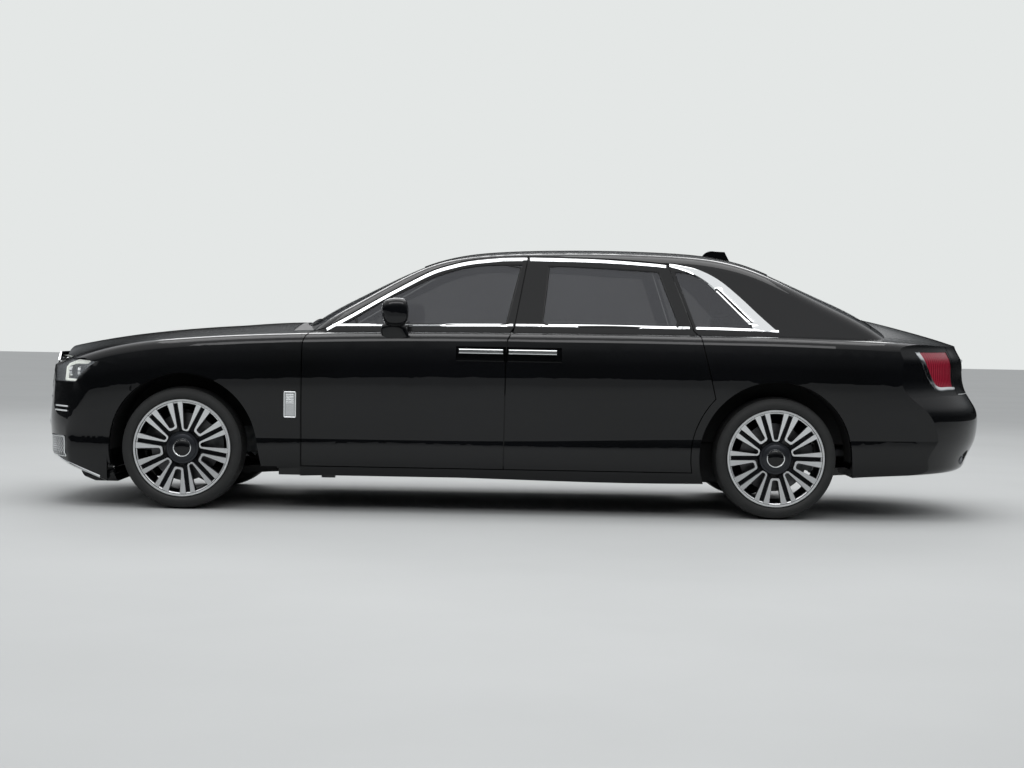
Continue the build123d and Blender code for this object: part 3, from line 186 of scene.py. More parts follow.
@dataclass(frozen=True)
class Finish:
    """One real finish: subclasses say what it is made of and how it was surfaced."""

    name: str

    def material(self) -> bpy.types.Material:
        """Make the material, or hand back the one already made."""
        made = bpy.data.materials.get(self.name)
        if made is not None:
            return made
        made = bpy.data.materials.new(self.name)
        made.use_nodes = True
        self.dress(made.node_tree, made.node_tree.nodes["Principled BSDF"])
        return made

    def dress(self, tree: Tree, shader: Node) -> None:
        """Set the shader and add the nodes of this finish.

        Args:
            tree: The material's node tree.
            shader: Its shader.
        """
        raise NotImplementedError

    @staticmethod
    def lay(tree: Tree, shader: Node, values: dict[str, Any], shades: Stops = (),
            patch: Pattern | None = None, relief: Relief | None = None) -> None:
        """Colour a surface and raise its texture.

        Args:
            tree: The material's node tree.
            shader: Its shader.
            values: For each of the shader's inputs, a value or the socket that drives it.
            shades: The stops between which the base colour wanders.
            patch: The pattern in which it wanders.
            relief: A pattern or socket of heights, its strength, and its full height in millimetres.
        """
        if patch is not None:
            values["Base Color"] = add_node(tree, "ValToRGB", {"stops": shades}, {"Fac": patch.add(tree)})
        if relief is not None:
            heights, strength, millimetres = relief
            values["Normal"] = add_node(tree, "Bump", None, {
                "Height": heights.add(tree) if isinstance(heights, Pattern) else heights,
                "Strength": strength, "Distance": millimetres / 1000})
        set_inputs(shader, values)


@dataclass(frozen=True)
class CoachPaint(Finish):
    """Solid black coach enamel under polished clear lacquer: a deep black with sharp, bright reflections."""

    name: str = "coach_enamel_lacquered"
    base: str = "#030405"

    def dress(self, tree: Tree, shader: Node) -> None:
        """Black base coat, clear coat, and the faint waviness that lacquer keeps."""
        self.lay(tree, shader, {"Roughness": 0.4, "Specular IOR Level": 0.05, "Coat Weight": 1.0,
                                "Coat Roughness": 0.012, "Coat IOR": 1.42},
                 ((0.35, self.base), (0.7, "#06070a")), Pattern(900, 1.0), (Pattern(45, 1.0), 0.01, 0.1))


@dataclass(frozen=True)
class BrightMetal(Finish):
    """Stainless steel, mirror polished: trim that reads bright with crisp dark lines."""

    name: str = "stainless_polished"
    tint: str = "#e9ebec"
    rough: float = 0.07

    def dress(self, tree: Tree, shader: Node) -> None:
        """A metal with polish haze that varies a little along it."""
        haze = add_node(tree, "MapRange", None, {
            "Value": Pattern(60).add(tree), "To Min": self.rough * 0.7, "To Max": self.rough * 1.5})
        self.lay(tree, shader, {"Base Color": colour(self.tint), "Metallic": 1.0, "Roughness": haze},
                 relief=(Pattern(30, 1.0), 0.02, 0.1))


@dataclass(frozen=True)
class TintedGlass(Finish):
    """Laminated safety glass with a grey tint: it shows the cabin dimly and mirrors the room."""

    name: str = "glass_laminated_tinted"

    def dress(self, tree: Tree, shader: Node) -> None:
        """See-through grey, darker where the tint runs thick, with a slight rolled waviness."""
        self.lay(tree, shader, {"Roughness": 0.03, "IOR": 1.52, "Specular IOR Level": 0.9, "Alpha": 0.62},
                 ((0.3, "#2b2d33"), (0.75, "#33353b")), Pattern(700, 1.0), (Pattern(300, 1.0), 0.03, 0.4))


@dataclass(frozen=True)
class ClearLens(Finish):
    """Clear polycarbonate, moulded and hard coated: a lamp cover that nearly vanishes but for its shine."""

    name: str = "polycarbonate_clear"

    def dress(self, tree: Tree, shader: Node) -> None:
        """A thin clear cover with the faint ripple of its mould."""
        self.lay(tree, shader, {"Base Color": colour("#d9dde2"), "Roughness": 0.03, "IOR": 1.58,
                                "Specular IOR Level": 1.0, "Alpha": 0.16}, relief=(Pattern(80, 1.0), 0.02, 0.2))


@dataclass(frozen=True)
class RedLens(Finish):
    """Red acrylic, moulded over prisms: deep ruby with fine upright ribs behind a polished face."""

    name: str = "acrylic_ruby_ribbed"
    rib_millimetres: float = 6.0

    def dress(self, tree: Tree, shader: Node) -> None:
        """Ruby that is lighter where the reflector shows between ribs."""
        ribs = add_node(tree, "TexWave", {"bands_direction": "Y"}, {
            "Vector": add_node(tree, "TexCoord", output="Object"), "Scale": 1000 / self.rib_millimetres / 6.28,
            "Distortion": 0.4}, "Fac")
        shade = add_node(tree, "ValToRGB", {"stops": ((0.2, "#7a1526"), (0.8, "#a32a3e"))}, {"Fac": ribs})
        self.lay(tree, shader, {"Base Color": shade, "Roughness": 0.12, "Coat Weight": 1.0,
                                "Coat Roughness": 0.02, "IOR": 1.49})


@dataclass(frozen=True)
class LitGuide(Finish):
    """Opal acrylic light guide, switched on low: an even soft white line."""

    name: str = "acrylic_opal_lit"
    glow: float = 0.75

    def dress(self, tree: Tree, shader: Node) -> None:
        """White with a low even glow that dims slightly along the guide."""
        level = add_node(tree, "ValToRGB", {"stops": ((0.3, "#c9cdc6"), (0.7, "#e9ece4"))},
                         {"Fac": Pattern(120, 1.0).add(tree)})
        self.lay(tree, shader, {"Emission Color": level, "Base Color": level, "Emission Strength": self.glow,
                                "Roughness": 0.35})


@dataclass(frozen=True)
class MouldedPlastic(Finish):
    """ABS or polypropylene from a grained mould: dull black with a fine leather-like grain."""

    name: str
    tint: str
    pale: str
    rough: float
    grain_millimetres: float

    def dress(self, tree: Tree, shader: Node) -> None:
        """Grained black, with roughness that follows the grain."""
        grain = Pattern(self.grain_millimetres, 4.0).add(tree)
        rough = add_node(tree, "MapRange", None, {
            "Value": grain, "To Min": self.rough - 0.08, "To Max": self.rough + 0.12})
        self.lay(tree, shader, {"Roughness": rough}, ((0.3, self.tint), (0.75, self.pale)), Pattern(140),
                 (grain, 0.35, 0.3))


@dataclass(frozen=True)
class WheelFinish(Finish):
    """A finish that follows a wheel's axle, which runs along Y."""

    centre_x: float
    centre_z: float

    def polar(self, tree: Tree) -> tuple[Socket, ...]:
        """Distance from the axle, its two parts along X and Z, and place along Y."""
        axes = add_node(tree, "SeparateXYZ", None, {
            "Vector": add_node(tree, "TexCoord", output="Object")}).node.outputs
        dx = add_node(tree, "Math", {"operation": "SUBTRACT"}, {0: axes["X"], 1: self.centre_x})
        dz = add_node(tree, "Math", {"operation": "SUBTRACT"}, {0: axes["Z"], 1: self.centre_z})
        flat = add_node(tree, "CombineXYZ", None, {"X": dx, "Y": dz})
        return add_node(tree, "VectorMath", {"operation": "LENGTH"}, {0: flat}, "Value"), dx, dz, axes["Y"]


@dataclass(frozen=True)
class TyreRubber(WheelFinish):
    """Vulcanised tyre rubber: dark grey, with tread ribs cut round it and fine rings on its wall."""

    middle_y: float
    radius: float = 0.358
    rib_pitch: float = 0.034
    ring_pitch: float = 0.0085
    sipes: float = 96.0
    sipe_lean: float = 60.0

    def dress(self, tree: Tree, shader: Node) -> None:
        """Ribs by distance across the tread, sipes round it, and rings by radius on the wall."""
        add = partial(add_node, tree)
        radius, dx, dz, along = self.polar(tree)
        across = add("Math", {"operation": "SUBTRACT"}, {0: along, 1: self.middle_y})
        rib = add("Math", {"operation": "MULTIPLY"}, {0: across, 1: 2 * math.pi / self.rib_pitch})
        groove = add("MapRange", None, {
            "Value": add("Math", {"operation": "COSINE"}, {0: rib}), "From Min": -1.0, "From Max": -0.72})
        turn = add("Math", {"operation": "ARCTAN2"}, {0: dz, 1: dx})
        round_it = add("Math", {"operation": "MULTIPLY"}, {0: turn, 1: self.sipes})
        lean = add("Math", {"operation": "MULTIPLY_ADD"}, {0: across, 1: self.sipe_lean, 2: round_it})
        sipe = add("MapRange", None, {
            "Value": add("Math", {"operation": "SINE"}, {0: lean}), "From Min": -1.0, "From Max": -0.85})
        tread = add("Math", {"operation": "MINIMUM"}, {0: groove, 1: sipe})
        ring = add("Math", {"operation": "MULTIPLY"}, {0: radius, 1: 2 * math.pi / self.ring_pitch})
        wall = add("MapRange", None, {"Value": add("Math", {"operation": "SINE"}, {0: ring}), "From Min": 0.5,
                                      "From Max": 1.0, "To Min": 0.5, "To Max": 0.56})
        on_tread = add("MapRange", None, {
            "Value": radius, "From Min": self.radius - 0.013, "From Max": self.radius - 0.009})
        height = add("Mix", {"data_type": "FLOAT"}, {0: on_tread, 2: wall, 3: tread})
        self.lay(tree, shader, {"Roughness": 0.62}, ((0.3, "#121313"), (0.75, "#1b1c1c")), Pattern(60),
                 (height, 1.0, 7.0))


@dataclass(frozen=True)
class MachinedAlloy(WheelFinish):
    """Forged aluminium, dark painted and then turned bright on its face: rings of tool marks, grey pockets."""

    hub_radius: float = 0.0975
    lip_radius: float = 0.2725
    mark_pitch: float = 0.0011

    def dress(self, tree: Tree, shader: Node) -> None:
        """Bright where the surface faces straight out past the hub, dark grey paint elsewhere."""
        add = partial(add_node, tree)
        radius = self.polar(tree)[0]
        facing = add("SeparateXYZ", None, {"Vector": add("TexCoord", output="Normal")}, "Y")
        face = add("MapRange", None, {
            "Value": add("Math", {"operation": "ABSOLUTE"}, {0: facing}), "From Min": 0.93, "From Max": 0.96})
        past_hub = add("MapRange", None, {
            "Value": radius, "From Min": self.hub_radius - 0.001, "From Max": self.hub_radius + 0.001})
        on_lip = add("MapRange", None, {
            "Value": radius, "From Min": self.lip_radius, "From Max": self.lip_radius + 0.002})
        turned_face = add("Math", {"operation": "MULTIPLY"}, {0: face, 1: past_hub})
        bright = add("Math", {"operation": "MAXIMUM"}, {0: turned_face, 1: on_lip})
        mark = add("Math", {"operation": "MULTIPLY"}, {0: radius, 1: 2 * math.pi / self.mark_pitch})
        tone = add("Mix", {"data_type": "RGBA"}, {0: bright, 6: colour("#2e3034"), 7: colour("#e2e4e5")}, 2)
        rough = add("MapRange", None, {"Value": bright, "To Min": 0.38, "To Max": 0.33})
        self.lay(tree, shader, {"Base Color": tone, "Roughness": rough, "Metallic": 0.9, "Coat Weight": 0.3},
                 relief=(add("Math", {"operation": "SINE"}, {0: mark}), 0.04, 0.05))


@dataclass(frozen=True)
class CastMetal(Finish):
    """Cast metal as it leaves the mould or the lathe: grainy grey, duller in its hollows."""

    name: str = "aluminium_cast"
    low: str = "#4b4d4f"
    high: str = "#6d6f70"
    rough: float = 0.5

    def dress(self, tree: Tree, shader: Node) -> None:
        """Sand grain over a mottled grey metal."""
        shades = ((0.3, self.low), (0.75, self.high))
        self.lay(tree, shader, {"Metallic": 0.85, "Roughness": self.rough}, shades, Pattern(40),
                 (Pattern(4), 0.3, 0.4))


@dataclass(frozen=True)
class Hide(Finish):
    """Full-grain leather, drum dyed: soft pebbled grain with a low sheen and paler high spots."""

    name: str = "leather_full_grain"
    low: str = "#8a8378"
    high: str = "#a39c90"
    pebble_millimetres: float = 5.0

    def dress(self, tree: Tree, shader: Node) -> None:
        """Pebbled grain, drawn a little coarser than life so that it shows."""
        cells = add_node(tree, "TexVoronoi", {"feature": "DISTANCE_TO_EDGE"}, {
            "Vector": add_node(tree, "TexCoord", output="Object"), "Scale": 1000 / self.pebble_millimetres},
            "Distance")
        rough = add_node(tree, "MapRange", None, {
            "Value": Pattern(25).add(tree), "To Min": 0.38, "To Max": 0.55})
        self.lay(tree, shader, {"Roughness": rough}, ((0.3, self.low), (0.75, self.high)), Pattern(90),
                 (cells, 0.25, 0.5))


@dataclass(frozen=True)
class Carpet(Finish):
    """Cut-pile wool carpet: soft dark tufts, with painted shade in the low pile between them."""

    name: str = "wool_cut_pile"
    tuft_and_shade: Pattern = Pattern(6, 5.0)

    def dress(self, tree: Tree, shader: Node) -> None:
        """Tufts about six millimetres wide, drawn coarse enough to show; their colour follows their height,
        with painted shade between them and painted light on their tips.
        """
        # One pattern raises the tufts and colours them: painted shade where the pile is low, painted light on
        # the tips.
        self.lay(tree, shader, {"Roughness": 0.95, "Sheen Weight": 0.4}, ((0.35, "#141416"), (0.65, "#26262a")),
                 self.tuft_and_shade, (self.tuft_and_shade, 0.8, 3.0))


@dataclass(frozen=True)
class FloorPaint(Finish):
    """Trowelled concrete under pale matt floor paint, with broad soft clouding."""

    name: str = "floor_paint_matt"

    def dress(self, tree: Tree, shader: Node) -> None:
        """One pale grey that barely changes."""
        self.lay(tree, shader, {"Roughness": 0.7}, ((0.3, "#b0b2b2"), (0.72, "#b5b7b7")), Pattern(1600, 4.0))


PAINT = CoachPaint()
CHROME = BrightMetal()
SATIN = BrightMetal("aluminium_satin", "#c9cbcc", 0.22)
MIRROR = BrightMetal("mirror_silvered", "#c3c8cd", 0.02)
GLASS = TintedGlass()
LENS = ClearLens()
RUBY = RedLens()
GUIDE = LitGuide()
TRIM_BLACK = MouldedPlastic("polypropylene_trim", "#08090a", "#0f1011", 0.42, 2.0)
PIANO_BLACK = CoachPaint("abs_piano_black", "#040405")
UNDERSEAL = MouldedPlastic("pvc_underseal", "#0c0d0e", "#171819", 0.8, 8.0)
SEAL = MouldedPlastic("epdm_seal", "#070708", "#0d0e0f", 0.6, 2.0)
CASTING = CastMetal()
GUNMETAL = CastMetal("aluminium_painted_dark", "#17181a", "#222326", 0.45)
STEEL = CastMetal("stainless_drawn", "#75777a", "#94969a", 0.28)
IRON = CastMetal("iron_turned", "#4d4d4e", "#6a6a6b", 0.34)
HIDE = Hide()
DARK_HIDE = Hide("leather_black", "#131315", "#1e1e21", 5.0)
PILE = Carpet()


# ---- Mesh helpers

WELD = 1e-6


def curve_through(points: Sequence[Point], count: int) -> list[Point]:
    """Sample a smooth curve through points, evenly along it.

    Args:
        points: The points it passes through.
        count: How many samples to take.

    Returns:
        The samples, first and last points included.
    """
    ends = [points[0], *points, points[-1]]
    fine: list[Point] = []
    for a, b, c, d in zip(ends, ends[1:], ends[2:], ends[3:]):
        for step in range(12):
            t = step / 12
            fine.append(tuple(
                0.5 * (2 * b[k] + (c[k] - a[k]) * t + (2 * a[k] - 5 * b[k] + 4 * c[k] - d[k]) * t * t
                       + (3 * b[k] - a[k] - 3 * c[k] + d[k]) * t ** 3) for k in (0, 1)))
    fine.append(tuple(points[-1]))
    lengths = [0.0]
    for p, q in zip(fine, fine[1:]):
        lengths.append(lengths[-1] + math.dist(p, q))
    samples: list[Point] = []
    k = 0
    for i in range(count):
        goal = lengths[-1] * i / (count - 1)
        while k < len(lengths) - 2 and lengths[k + 1] < goal:
            k += 1
        share = (goal - lengths[k]) / max(lengths[k + 1] - lengths[k], 1e-9)
        samples.append(tuple(fine[k][j] + share * (fine[k + 1][j] - fine[k][j]) for j in (0, 1)))
    return samples


def loft(rows: Sequence[Row], closed_rows: bool = True, capped: bool = True) -> Mesh:
    """Skin a series of sections that have as many points each.

    Args:
        rows: The sections, in order.
        closed_rows: Whether each section is a closed loop.
        capped: Whether the first and last sections are filled.

    Returns:
        The mesh, with its normals outward.
    """
    mesh = bmesh.new()
    grid = [[mesh.verts.new(p) for p in row] for row in rows]
    width = len(rows[0])
    for a, b in zip(grid, grid[1:]):
        for i in range(width if closed_rows else width - 1):
            j = (i + 1) % width
            mesh.faces.new((a[i], a[j], b[j], b[i]))
    if capped and closed_rows:
        mesh.faces.new(grid[0][::-1])
        mesh.faces.new(grid[-1])
    bmesh.ops.recalc_face_normals(mesh, faces=mesh.faces)
    return mesh


def add_piece(name: str, mesh: Mesh, finish: Finish, body: str = "body",
              shade: Shade = Shade.EDGED, levels: int = 0) -> Piece:
    """Turn a mesh into a dressed object that rides on a body.

    Args:
        name: The piece's name.
        mesh: Its mesh, which is used up.
        finish: Its finish.
        body: The body that carries it.
        shade: How it is shaded.
        levels: Levels of subdivision.

    Returns:
        The object.
    """
    data = bpy.data.meshes.new(name)
    mesh.to_mesh(data)
    mesh.free()
    piece = bpy.data.objects.new(name, data)
    bpy.context.scene.collection.objects.link(piece)
    data.materials.append(finish.material())
    if shade is not Shade.FLAT:
        data.polygons.foreach_set("use_smooth", [True] * len(data.polygons))
    if shade is Shade.EDGED:
        data.set_sharp_from_angle(angle=math.radians(38))
    if levels:
        smooth = piece.modifiers.new("subdivision", "SUBSURF")
        smooth.levels = smooth.render_levels = levels
    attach(piece, body)
    log.info("%s on %s, %d faces", name, body, len(data.polygons))
    return piece


def joined(meshes: Iterable[Mesh]) -> Mesh:
    """Put several meshes into one."""
    whole = bmesh.new()
    for mesh in meshes:
        data = bpy.data.meshes.new("part")
        mesh.to_mesh(data)
        mesh.free()
        whole.from_mesh(data)
        bpy.data.meshes.remove(data)
    return whole


def rounded_box(low: Sequence[float], high: Sequence[float], radius: float,
                segments: int = 2) -> Mesh:
    """A box with rounded edges.

    Args:
        low: Its lowest corner.
        high: Its highest corner.
        radius: The rounding.
        segments: Faces across each rounding.

    Returns:
        The mesh.
    """
    mesh = bmesh.new()
    bmesh.ops.create_cube(mesh, size=1.0)
    size = Vector(high) - Vector(low)
    bmesh.ops.scale(mesh, vec=size, verts=mesh.verts)
    bmesh.ops.translate(mesh, vec=(Vector(high) + Vector(low)) / 2, verts=mesh.verts)
    bmesh.ops.bevel(mesh, geom=mesh.edges[:], offset=min(radius, min(size) * 0.45), segments=segments,
                    affect="EDGES", profile=0.5)
    return mesh


def turned(profile: Sequence[Point], centre: Vector, axis_y: float, steps: int = 64) -> Mesh:
    """A ring or disc turned about the Y axis.

    Args:
        profile: Points of (radius, distance outward), from the inside out.
        centre: A point on the axis.
        axis_y: 1 where outward is +Y, and -1 where it is -Y.
        steps: Faces round it.

    Returns:
        The mesh.
    """
    rows = []
    for k in range(steps):
        angle = 2 * math.pi * k / steps
        across, up = math.cos(angle), math.sin(angle)
        rows.append([centre + Vector((r * across, axis_y * d, r * up)) for r, d in profile])
    rows.append(rows[0])
    return welded(rows)


class Skin:
    """The outer surface of some frame nodes, for laying trim on."""

    step: float = 0.014

    def __init__(self, *nodes: str) -> None:
        """Gather the nodes' faces into one search tree."""
        points: list[Vector] = []
        faces: list[tuple[int, ...]] = []
        for name in nodes:
            data = bpy.data.objects[name].data
            start = len(points)
            points += [v.co.copy() for v in data.vertices]
            faces += [tuple(start + i for i in p.vertices) for p in data.polygons]
        self.tree = BVHTree.FromPolygons(points, faces)

    def meet(self, start: Vector, direction: Vector, near: Contact | None = None) -> Contact | None:
        """The first point and outward normal along a line.

        Args:
            start: Where the line starts.
            direction: Which way it goes.
            near: A contact beside it, which a line that runs past an edge or into a gap falls back on.

        Returns:
            The point and its normal, or None where the line misses and has no neighbour.
        """
        hit, normal, _, _ = self.tree.ray_cast(start, direction)
        if near is not None:
            level = start + direction * (near[0] - start).dot(direction)
            allowed = self.step + 2 * (level - near[0]).length
            if hit is None or abs((hit - near[0]).dot(direction)) > allowed:
                edge, _, _, _ = self.tree.find_nearest(level)
                return edge, near[1]
        if hit is None:
            return None
        return hit, (normal if normal.dot(direction) < 0 else -normal)

    def from_side(self, side: Side, point: Point, near: Contact | None = None) -> Contact | None:
        """Meet the flank at a point given as (x, z)."""
        return self.meet(Vector((point[0], 3.0 * side.value, point[1])), Vector((0, -side.value, 0)), near)

    def from_front(self, point: Point, near: Contact | None = None) -> Contact | None:
        """Meet the nose at a point given as (y, z)."""
        return self.meet(Vector((5.0, point[0], point[1])), Vector((-1, 0, 0)), near)

    def from_rear(self, point: Point, near: Contact | None = None) -> Contact | None:
        """Meet the tail at a point given as (y, z)."""
        return self.meet(Vector((-5.0, point[0], point[1])), Vector((1, 0, 0)), near)


def trim_band(first: Sequence[Point], second: Sequence[Point], meet: Meet, crown: float, edge: float,
              sunk: float, count: int = 48) -> Mesh:
    """A bead of trim that lies on a surface between two lines.

    Args:
        first: One edge of the bead, as points seen in elevation.
        second: Its other edge, run the same way.
        meet: Finds the surface under a point seen in elevation, beside a known contact.
        crown: How far the middle stands off the surface.
        edge: How far the edges stand off it.
        sunk: How far the bead's foot goes below it.
        count: Stations along the bead.

    Returns:
        The closed mesh.
    """
    rows: list[Row] = []
    for a, b in zip(curve_through(first, count), curve_through(second, count)):
        middle = meet(((a[0] + b[0]) / 2, (a[1] + b[1]) / 2), None)
        if middle is None:
            continue
        row: Row = []
        foot: Row = []
        for share in (0.0, 0.12, 0.5, 0.88, 1.0):
            point, normal = meet((a[0] + share * (b[0] - a[0]), a[1] + share * (b[1] - a[1])), middle)
            rise = edge + (crown - edge) * (1 - (2 * share - 1) ** 2)
            row.append(point + normal * rise)
            if share in (0.0, 1.0):
                foot.append(point - normal * sunk)
        rows.append(row + foot[::-1])
    return loft(rows)


def bar_on(meet: Meet, a: Point, b: Point, half: float, crown: float, edge: float | None = None,
           sunk: float = 0.001, count: int = 6) -> Mesh:
    """A straight rounded bar that lies on a surface.

    Args:
        meet: Finds the surface under a point seen in elevation, beside a known contact.
        a: One end of its middle line, as seen in elevation.
        b: The other end.
        half: Half its width.
        crown: How far its middle stands off the surface.
        edge: How far its edges stand off it, or None for a share of the crown.
        sunk: How far its foot goes below the surface.
        count: Stations along it.

    Returns:
        The closed mesh.
    """
    length = math.dist(a, b)
    across = (-(b[1] - a[1]) / length * half, (b[0] - a[0]) / length * half)
    lines = [[(p[0] + turn * across[0], p[1] + turn * across[1]) for p in (a, b)] for turn in (1, -1)]
    return trim_band(lines[0], lines[1], meet, crown, crown * 0.6 if edge is None else edge, sunk, count)


def rectangle(low: Point, high: Point) -> list[tuple[Point, Point]]:
    """The four sides of an upright rectangle, each as its two ends, in order round it.

    Args:
        low: Its lowest corner.
        high: Its highest corner.

    Returns:
        The sides, from the bottom one on.
    """
    corners = [low, (high[0], low[1]), high, (low[0], high[1])]
    return list(zip(corners, corners[1:] + corners[:1]))


def welded(rows: Sequence[Row]) -> Mesh:
    """Skin open sections whose last row repeats the first, and close the seam.

    Args:
        rows: The sections, in order.

    Returns:
        The closed mesh, with its normals outward.
    """
    mesh = loft(rows, closed_rows=False, capped=False)
    bmesh.ops.remove_doubles(mesh, verts=mesh.verts, dist=WELD)
    bmesh.ops.recalc_face_normals(mesh, faces=mesh.faces)
    return mesh


def spread(low: float, high: float, count: int) -> list[float]:
    """Evenly spaced values, ends included.

    Args:
        low: The first value.
        high: The last value.
        count: How many there are.

    Returns:
        The values, in order.
    """
    return [low + (high - low) * k / (count - 1) for k in range(count)]


# ---- The car's own sub-assemblies


@dataclass
class WindowTrim:
    """The bright surround and belt bead of the side windows, and the dark seals inside them."""

    surround_outer: tuple[Point, ...] = ((1.122, 1.070), (0.985, 1.147), (0.810, 1.252), (0.693, 1.319),
                                         (0.518, 1.413), (0.400, 1.454), (0.284, 1.482), (0.108, 1.503),
                                         (-0.020, 1.509), (-0.053, 1.509))
    surround_rear: tuple[Point, ...] = ((-0.071, 1.510), (-0.127, 1.510), (-0.481, 1.505), (-0.777, 1.489),
                                        (-0.880, 1.480))
    pillar_outer: tuple[Point, ...] = ((-0.900, 1.489), (-0.954, 1.482), (-1.072, 1.457), (-1.191, 1.398),
                                       (-1.311, 1.300), (-1.431, 1.187), (-1.540, 1.090))
    pillar_inner: tuple[Point, ...] = ((-0.896, 1.468), (-0.950, 1.459), (-1.030, 1.432), (-1.133, 1.366),
                                       (-1.240, 1.262), (-1.340, 1.160), (-1.398, 1.104))
    bead: float = 0.018
    belt_front: tuple[Point, ...] = ((1.122, 1.080), (0.685, 1.088), (0.100, 1.098), (0.024, 1.099))
    belt_rear: tuple[Point, ...] = ((0.008, 1.099), (-0.484, 1.103), (-0.760, 1.102), (-1.030, 1.101))
    belt_pillar: tuple[Point, ...] = ((-1.048, 1.101), (-1.200, 1.100), (-1.400, 1.096), (-1.538, 1.090))
    belt_bead: float = 0.015
    lip: tuple[Point, ...] = ((-0.006, 0.0005), (-0.002, 0.0052), (0.006, 0.0052), (0.010, 0.0008))

    def build(self) -> None:
        """Lay every bead on both sides."""
        for side in Side:
            self.bright(side)
            self.seals(side)

    def offset(self, line: Sequence[Point], distance: float) -> list[Point]:
        """Move a line sideways, to the left of its run for a positive distance."""
        moved: list[Point] = []
        for i, p in enumerate(line):
            a, b = line[max(i - 1, 0)], line[min(i + 1, len(line) - 1)]
            length = math.dist(a, b)
            moved.append((p[0] - (b[1] - a[1]) / length * distance, p[1] + (b[0] - a[0]) / length * distance))
        return moved

    def bright(self, side: Side) -> None:
        """The polished surround and belt beads."""
        front = Skin("front_door_" + side.word, "front_door_glass_" + side.word)
        rear = Skin("rear_door_" + side.word, "rear_door_glass_" + side.word)
        fixed = Skin("body_side_" + side.word, "quarter_windows")
        front_body, rear_body = "front_%s_door" % side.word, "rear_%s_door" % side.word
        bands = {
            "surround_front": (self.surround_outer, self.bead, front, front_body),
            "surround_rear": (self.surround_rear, self.bead, rear, rear_body),
            "surround_pillar": (self.pillar_outer, self.pillar_inner, fixed, "body"),
            "belt_front": (self.belt_front, -self.belt_bead, front, front_body),
            "belt_rear": (self.belt_rear, -self.belt_bead, rear, rear_body),
            "belt_pillar": (self.belt_pillar, -self.belt_bead, fixed, "body"),
        }
        for name, (first, second, skin, body) in bands.items():
            if isinstance(second, float):
                second = self.offset(first, second)
            mesh = trim_band(first, second, partial(skin.from_side, side), 0.0042, 0.0018, 0.002, 60)
            add_piece("%s_%s" % (name, side.word), mesh, CHROME, body)

    def seals(self, side: Side) -> None:
        """A dark rubber lip round each pane, pressed against the glass."""
        panes = {"front_door_glass": "front_%s_door", "rear_door_glass": "rear_%s_door"}
        for node, body in panes.items():
            name = "%s_%s" % (node, side.word)
            outline = edge_ring(name, side)
            rows = []
            for point, inward in outline:
                outward = Vector((0, side.value, 0))
                rows.append([point + inward * across + outward * rise for across, rise in self.lip])
            rows.append(rows[0])
            mesh = loft(rows, closed_rows=True, capped=False)
            bmesh.ops.remove_doubles(mesh, verts=mesh.verts, dist=WELD)
            add_piece(node + "_seal_" + side.word, mesh, SEAL, body % side.word)


def edge_ring(node: str, side: Side, count: int = 72) -> list[tuple[Vector, Vector]]:
    """Walk round a pane's outer face in side view.

    Args:
        node: The pane's frame node.
        side: Which side of the car it is on.
        count: Points round it.

    Returns:
        Points on its outer face, each with the direction toward its middle.
    """
    data = bpy.data.objects[node].data
    middle = sum((v.co for v in data.vertices), Vector()) / len(data.vertices)
    skin = Skin(node)
    ring: list[tuple[Vector, Vector]] = []
    for k in range(count):
        angle = 2 * math.pi * k / count
        step = Vector((math.cos(angle), 0, math.sin(angle)))
        low, high = 0.0, 1.6
        for _ in range(18):
            half = (low + high) / 2
            probe = middle + step * half
            if skin.from_side(side, (probe.x, probe.z)) is None:
                high = half
            else:
                low = half
        probe = middle + step * (low - 0.0005)
        found = skin.from_side(side, (probe.x, probe.z))
        if found is not None:
            ring.append((found[0], -step))
    return ring


@dataclass(frozen=True)
class SpokeFrame:
    """One open frame in a wheel's face: two bands that run out to the rim from a short foot."""

    foot_radius: float
    foot_half: float
    rim_half: float
    foot_thick: float
    foot_band: float
    rim_band: float
    rim_radius: float = 0.274
    bevel: float = 0.006

    def stations(self) -> list[tuple[Point, Point]]:
        """Outer and inner edge points, as (out, across), from one rim end round the foot to the other."""
        foot_inner = self.foot_radius + self.foot_thick
        half: list[tuple[Point, Point]] = []
        for k in range(9):
            share = 1 - k / 8
            outer_r = self.foot_radius + self.bevel + (self.rim_radius - self.foot_radius - self.bevel) * share
            inner_r = foot_inner + self.bevel + (self.rim_radius - foot_inner - self.bevel) * share
            half.append(((outer_r, -self.outer_half(outer_r)), (inner_r, -self.inner_half(inner_r))))
        half.append(((self.foot_radius, self.bevel - self.foot_half),
                     (foot_inner, min(self.bevel - self.foot_half + self.foot_band, -0.002))))
        other = [((a[0], -a[1]), (b[0], -b[1])) for a, b in reversed(half)]
        return half + other

    def outer_half(self, radius: float) -> float:
        """Half the frame's width at a radius."""
        share = (radius - self.foot_radius) / (self.rim_radius - self.foot_radius)
        return self.foot_half + (self.rim_half - self.foot_half) * share

    def inner_half(self, radius: float) -> float:
        """Half the width of the window inside it at a radius."""
        share = (radius - self.foot_radius) / (self.rim_radius - self.foot_radius)
        return self.outer_half(radius) - self.foot_band - (self.rim_band - self.foot_band) * share


@dataclass(frozen=True)
class Axle:
    """Where one wheel sits: its middle, the sign of outward along Y, and how far out its face reaches."""

    centre: Vector
    out: int
    edge: float

    def turn(self, profile: Sequence[Point], steps: int = 64) -> Mesh:
        """Turn a profile of (radius, distance outward from the middle) about the axle."""
        return turned(profile, self.centre, self.out, steps)


